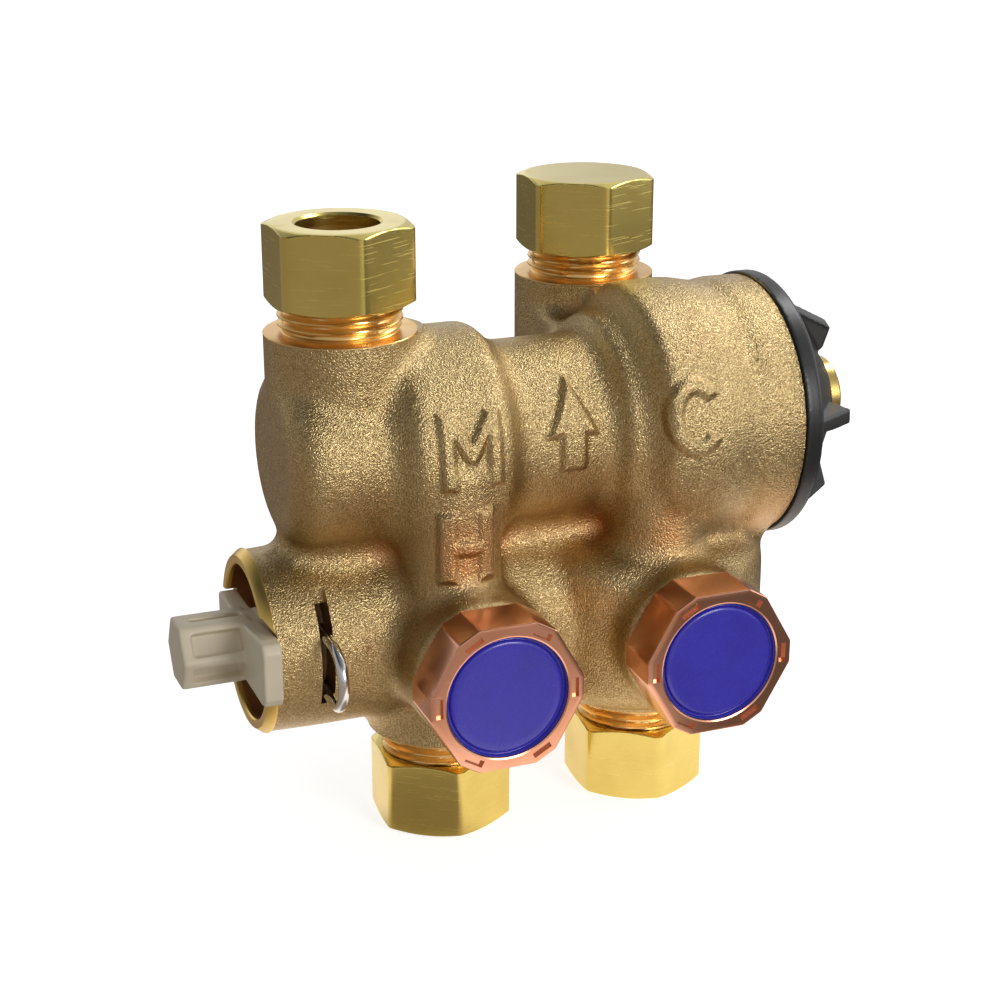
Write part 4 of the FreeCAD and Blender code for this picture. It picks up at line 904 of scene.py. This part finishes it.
# Bores of the casting, cut out of the cast form
def machineCasting(piece):
    faceEnds(piece)
    plane = layout["plane"]
    upper = layout["upper"]
    lower = layout["lower"]
    waterway = crossBores["waterway"]
    bores = []
    for port in ports.values():
        if port["up"]:
            bores.append(column(port["across"], port["back"], upper, layout["topRim"] + 9.6, waterway))
        else:
            bores.append(column(port["across"], port["back"], layout["bottomRim"] - 9.6, lower, waterway))
    for barrel, steps in barrelBores.items():
        for radius, low, high in steps:
            bores.append(column(plane, layout[barrel], low, high, radius, "X"))
    for across in (0.0, layout["spacing"]):
        riserAcross = across + castSizes["riserSide"]
        riserBack = castSizes["riserBack"]
        bores.append(column(across, layout["front"], -50.0, 10.0, crossBores["check"], "Y"))
        bores.append(column(riserAcross, riserBack, layout["front"], upper, crossBores["riser"]))
    slot = clipSlot
    bores.append(block((slot["left"], plane - cutReach, slot["low"]),
                       (slot["right"], plane + cutReach, slot["high"])))
    cutForms(piece, bores, boreBrown)
    # the shallow pocket above the slot is cast over like the skin around it
    pocket = block((slot["left"], plane - 38.0, slot["pocketLow"]),
                   (slot["right"], slot["pocketBack"], slot["pocketHigh"]))
    cutForms(piece, [pocket] + barNotch())
    print("casting machined:", len(piece.data.polygons), "faces")


mouthSizes = {"face": -54.7, "back": -51.9, "outer": 25.5, "bevelWide": 2.2, "bevelHigh": 1.6, "bore": 21.3,
              "steps": 192}


# Machined ring round the flushing port, open where the plug's bar lies
def mouthRing():
    sizes = mouthSizes
    face = sizes["face"]
    back = sizes["back"]
    outer = sizes["outer"]
    bore = sizes["bore"]
    edge = outer - sizes["bevelHigh"]
    rings = [(back, bore), (back, outer - 0.1), (back - 0.15, outer),
             (face + sizes["bevelWide"], outer - 0.15), (face + 0.4, edge + 0.1), (face + 0.12, edge - 0.12),
             (face, edge - 0.45), (face, bore + 0.9), (face + 0.2, bore + 0.3), (face + 0.7, bore)]
    place = (0, layout["plane"] * mm, layout["lower"] * mm)
    points, faces = ringForm(rings, evenAngles(sizes["steps"]), "X", place, closed=True)
    piece = meshObject("mouth_ring", points, faces, mouthGold, "valve")
    outward(piece)
    cutForms(piece, barNotch())
    crisp(piece, 30.0)


plugSizes = {"across": 17.7, "turn": 58.4, "drop": 0.4, "end": -73.6, "root": -56.0, "pocketFrom": -70.4,
             "pocketTo": -56.9, "pocketWide": 6.2, "slotWide": 2.4, "slotFrom": -69.6, "slotTo": -55.4,
             "deep": 2.5, "barFront": -56.7, "barBack": -51.45, "voxel": 0.4, "fineVoxel": 0.38, "rounds": 6,
             "barOutline": [(23.8, 51.2), (23.8, 66.7), (-2.0, 66.7), (-20.0, 69.2), (-23.0, 68.8),
                            (-24.4, 66.6), (-24.4, 53.6), (-23.2, 51.6), (-21.0, 51.0)]}


# Hollows between the corners of the plug's handle: wide ones, and narrow slots above and below
def plugPockets(lower):
    sizes = plugSizes
    reach = sizes["across"] / 2
    pockets = []
    for side in range(6):
        angle = math.radians(sizes["turn"] + 30.0 + 60.0 * side)
        narrow = math.sin(angle) > 0.8
        wide = sizes["slotWide"] if narrow else sizes["pocketWide"]
        first = sizes["slotFrom"] if narrow else sizes["pocketFrom"]
        last = sizes["slotTo"] if narrow else sizes["pocketTo"]
        centre = Vector(((first + last) / 2, layout["plane"] + reach * math.cos(angle),
                         lower + reach * math.sin(angle)))
        box = Matrix.Diagonal(((last - first) * mm, sizes["deep"] * 2 * mm, wide * mm, 1))
        pockets.append(boxPart(Matrix.Translation(centre * mm) @ Matrix.Rotation(angle, 4, "X") @ box))
    return pockets


# The plug's stem as in the solid, with its stout hexagon handle and stepped bar
def flushingPlug():
    sizes = plugSizes
    plane = layout["plane"]
    lower = layout["lower"] - sizes["drop"]
    piece = copyOf("flush_plug", "flushing_plug")
    outward(piece)
    soften(piece, sizes["voxel"])
    # the solid's own bar and handle make way for the softer forms
    cutForms(piece, [block((-80.0, -40.0, 30.0), (-50.9, 50.0, 90.0))], plugGrey)
    flat = hexagon(sizes["across"], sizes["turn"], 0.7)
    end = sizes["end"]
    root = sizes["root"] + 2.0
    rings = [(end, 0.4), (end, lambda angle: flat(angle) - 0.5), (end + 0.4, flat), (sizes["root"], flat),
             (root, flat), (root, 0.4)]
    forms = [ringForm(rings, hexagonAngles(sizes["turn"]), "X", (0, plane * mm, lower * mm)),
             prism(sizes["barOutline"], sizes["barFront"], sizes["barBack"], "X"),
             column(plane, lower, -54.0, -49.5, 8.9, "X")]
    points, faces = merged(forms)
    extra = meshObject("plugForms", points, faces, plugGrey)
    outward(extra)
    soften(extra, sizes["voxel"])
    cutForms(extra, plugPockets(lower))
    modifier(piece, "BOOLEAN", operation="UNION", object=extra, solver="MANIFOLD")
    settle(piece)
    bpy.data.objects.remove(extra)
    soften(piece, sizes["fineVoxel"], sizes["rounds"])
    paint(piece, plugGrey)
    crisp(piece, 40.0)
    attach(piece, "valve")
    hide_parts("flush_plug")
    print("plug made:", len(piece.data.polygons), "faces")


knobSizes = {"voxel": 0.55, "rounds": 3, "crease": 35.0}


# The lugged knob as in the solid, with its moulded edges softened
def luggedKnob():
    piece = copyOf("temperature_knob", "lugged_knob")
    soften(piece, knobSizes["voxel"], knobSizes["rounds"])
    paint(piece, knobBlack)
    crisp(piece, knobSizes["crease"])
    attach(piece, "knob")
    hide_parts("temperature_knob")
    print("knob made:", len(piece.data.polygons), "faces")


body = casting()
markCreases(body)
raiseMarks(body)
machineCasting(body)
crisp(body, 38.0)
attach(body, "valve")
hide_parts("valve_body")
mouthRing()
flushingPlug()
luggedKnob()

# Finishes of the solids by a word in the node's name, the last that fits; all others are plain brass
finishes = {
    "disc": sealRubber, "spring": springSteel, "guide": cagePlastic, "check_cage": cagePlastic,
    "strainer": springSteel, "flush_plug": plugGrey, "plug_clip": clipChrome, "element": capCopper,
    "knob_screw": screwBrass, "temperature_knob": knobBlack, "seal": sealRubber,
}
for name, thing in nodes.items():
    chosen = innerBrass
    for word, material in finishes.items():
        if word in name:
            chosen = material
    paint(thing, chosen)
print("finishes given to", len(nodes), "nodes")

# Coil springs, copied from the solid's springs and riding on the valve; each has a fixed end and pushes on a
# piece that slides
springSizes = {
    "hot_check_spring": {"joint": "hot_poppet_slide", "axis": (0, 1, 0), "fixed": (0.0, -34.0, 57.5),
                         "slides": 4.0},
    "cold_check_spring": {"joint": "cold_poppet_slide", "axis": (0, 1, 0), "fixed": (60.8, -34.0, 57.5),
                          "slides": 4.0},
    "return_spring": {"joint": "shuttle_slide", "axis": (1, 0, 0), "fixed": (-12.0, 4.0, 110.4),
                      "slides": 1.0},
}


def coil(name):
    sizes = springSizes[name]
    piece = nodes[name].copy()
    piece.data = nodes[name].data.copy()
    piece.name = name.replace("spring", "coil")
    bpy.context.scene.collection.objects.link(piece)
    piece.parent = None
    piece.matrix_world = nodes[name].matrix_world
    settle(piece)
    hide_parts(name)
    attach(piece, "valve")
    low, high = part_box(name)
    length = sum((top - bottom) * share for bottom, top, share in zip(low, high, sizes["axis"])) / mm
    1.0 - sizes["slides"] / length
    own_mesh(piece)


for name in springSizes:
    coil(name)
print("springs made:", len(springSizes))

# Camera at the photograph's place, read in millimetres in the frame
cameraSizes = {"place": (-171.17, -481.87, 275.24), "azimuth": 21.482, "elevation": 19.526, "focal": 71.34}


def makeCamera():
    camera = bpy.data.cameras.new("camera")
    camera.lens = cameraSizes["focal"]
    camera.sensor_width = 36.0
    camera.clip_start = 0.01
    holder = bpy.data.objects.new("camera", camera)
    bpy.context.scene.collection.objects.link(holder)
    azimuth = math.radians(cameraSizes["azimuth"])
    elevation = math.radians(cameraSizes["elevation"])
    look = Vector((math.sin(azimuth) * math.cos(elevation), math.cos(azimuth) * math.cos(elevation),
                   -math.sin(elevation)))
    holder.location = Vector(cameraSizes["place"]) * mm
    holder.rotation_euler = look.to_track_quat("-Z", "Y").to_euler()
    bpy.context.scene.camera = holder


# Soft lamps: places and sizes in metres, power in watts
lamps = [
    {"name": "front", "place": (0.38, -1.06, 0.49), "wide": 0.45, "deep": 0.45, "power": 5.2},
    {"name": "above", "place": (0.66, 0.05, 0.88), "wide": 0.3, "deep": 1.0, "power": 0.72},
    {"name": "close", "place": (0.235, 0.045, 0.40), "wide": 0.08, "deep": 0.24, "power": 0.46},
    {"name": "back", "place": (0.30, 0.80, 1.10), "wide": 0.8, "deep": 0.8, "power": 0.8},
    {"name": "right", "place": (1.15, -0.3, 0.3), "wide": 0.6, "deep": 0.6, "power": 1.7},
]


def makeLamps():
    aim = Vector((0.02, 0.0, 0.09))
    for lamp in lamps:
        light = bpy.data.lights.new(lamp["name"], "AREA")
        light.shape = "RECTANGLE"
        light.size = lamp["wide"]
        light.size_y = lamp["deep"]
        light.energy = lamp["power"]
        holder = bpy.data.objects.new(lamp["name"], light)
        bpy.context.scene.collection.objects.link(holder)
        holder.location = lamp["place"]
        holder.rotation_euler = (aim - Vector(lamp["place"])).to_track_quat("-Z", "Y").to_euler()


# Light from all round. Reflections see a pale room, dimmer above, with a card low behind on the left.
room = {"plain": 0.36, "shine": 0.35, "glow": 0.40, "ceiling": 0.56, "ceilingRight": 0.22, "card": 0.45}


# The white backdrop, and what light and reflections see of the room
def makeWorld():
    world = bpy.data.worlds.new("studio")
    bpy.context.scene.world = world
    world.use_nodes = True
    tree = world.node_tree
    tree.nodes.clear()
    start = Wire(tree)
    seen, shine = rays(start)
    facing = start.node("ShaderNodeTexCoord", output="Generated")
    across, back, up = parted(start, facing)
    glow = (across * 0.75 - back * 0.1 + up * 0.6).band(-0.8, 0.7)
    card = back.band(0.6, 0.8) * (1 - across.band(0.31, 0.41)) * (1 - up.band(0.25, 0.4))
    ceiling = up.band(0.4, 0.8) * (room["ceiling"] - across.band(0.25, 0.45) * room["ceilingRight"])
    mirrored = glow * room["glow"] + room["shine"] - ceiling + card * room["card"]
    shade = shine * mirrored + (1 - shine) * room["plain"]
    strength = seen + (1 - seen) * shade
    light = start.node("ShaderNodeBackground", {}, {"Color": (1, 1, 1, 1), "Strength": strength})
    output = tree.nodes.new("ShaderNodeOutputWorld")
    tree.links.new(light.socket, output.inputs["Surface"])


# Places are in metres on the floor; pool is its bright part round the valve, as reflections see it
floorLooks = {"half": 12.0, "drop": 0.0005, "pool": (0.07, -0.02, 0.0), "poolGlow": 0.8, "plainGlow": 0.09,
              "farGlow": 0.05, "portShade": (-0.026, -0.034, 0.0), "pale": (0.60, 0.60, 0.60),
              "paleLow": (0.56, 0.56, 0.56), "dim": (0.42, 0.36, 0.31), "dark": (0.05, 0.05, 0.045),
              "warm": (1.0, 0.86, 0.74)}


def makeFloor():
    looks = floorLooks
    material, start, place = startFinish("paleFloor")
    seen, shine = rays(start)
    across, back, _ = parted(start, place)

    def away(spot):
        return start.node("ShaderNodeVectorMath", {"operation": "DISTANCE"}, {0: place, 1: spot}, "Value")

    far = away(looks["pool"])
    pool = (1 - far.band(0.12, 0.155)) * (across + back * 0.4).band(-0.14, -0.09)
    # it lies in shade under the flushing port, and is dark in front to the right
    pool = pool * away(looks["portShade"]).band(0.018, 0.045)
    right = (across + back * 0.45).band(0.0, 0.04)
    pool = pool * (1 - right * (0 - back).band(0.06, 0.10))
    pale = noise(start, place, 3.0, 1.0).band(0.2, 0.8).tint(looks["paleLow"], looks["pale"])
    # Reflections see the floor outside the pool painted darker, as painted shade: dim, and dark in front to
    # the right
    colour = (shine * (1 - pool)).tint(pale, right.tint(looks["dim"], looks["dark"]))
    diffuse = start.node("ShaderNodeBsdfDiffuse", {}, {"Color": colour})
    mirrored = pool * looks["poolGlow"] + looks["plainGlow"] + far.band(0.32, 0.42) * looks["farGlow"]
    strength = seen * (0.78 + far.band(0.3, 1.2) * 0.22) + shine * mirrored
    # Reflections see the floor's glow warm: painted warm reflected light
    tone = shine.tint((1.0, 1.0, 1.0), looks["warm"])
    glow = start.node("ShaderNodeEmission", {}, {"Color": tone, "Strength": strength})
    both = start.node("ShaderNodeAddShader", {}, {0: diffuse, 1: glow})
    output = start.tree.nodes.new("ShaderNodeOutputMaterial")
    start.tree.links.new(both.socket, output.inputs["Surface"])
    half = looks["half"]
    corners = [(-half, -half, 0), (half, -half, 0), (half, half, 0), (-half, half, 0)]
    floor = meshObject("floor", corners, [(0, 1, 2, 3)], material)
    floor.location.z = -looks["drop"]


makeCamera()
makeLamps()
makeWorld()
makeFloor()
bpy.context.scene.view_settings.view_transform = "Standard"

print("scene ready")
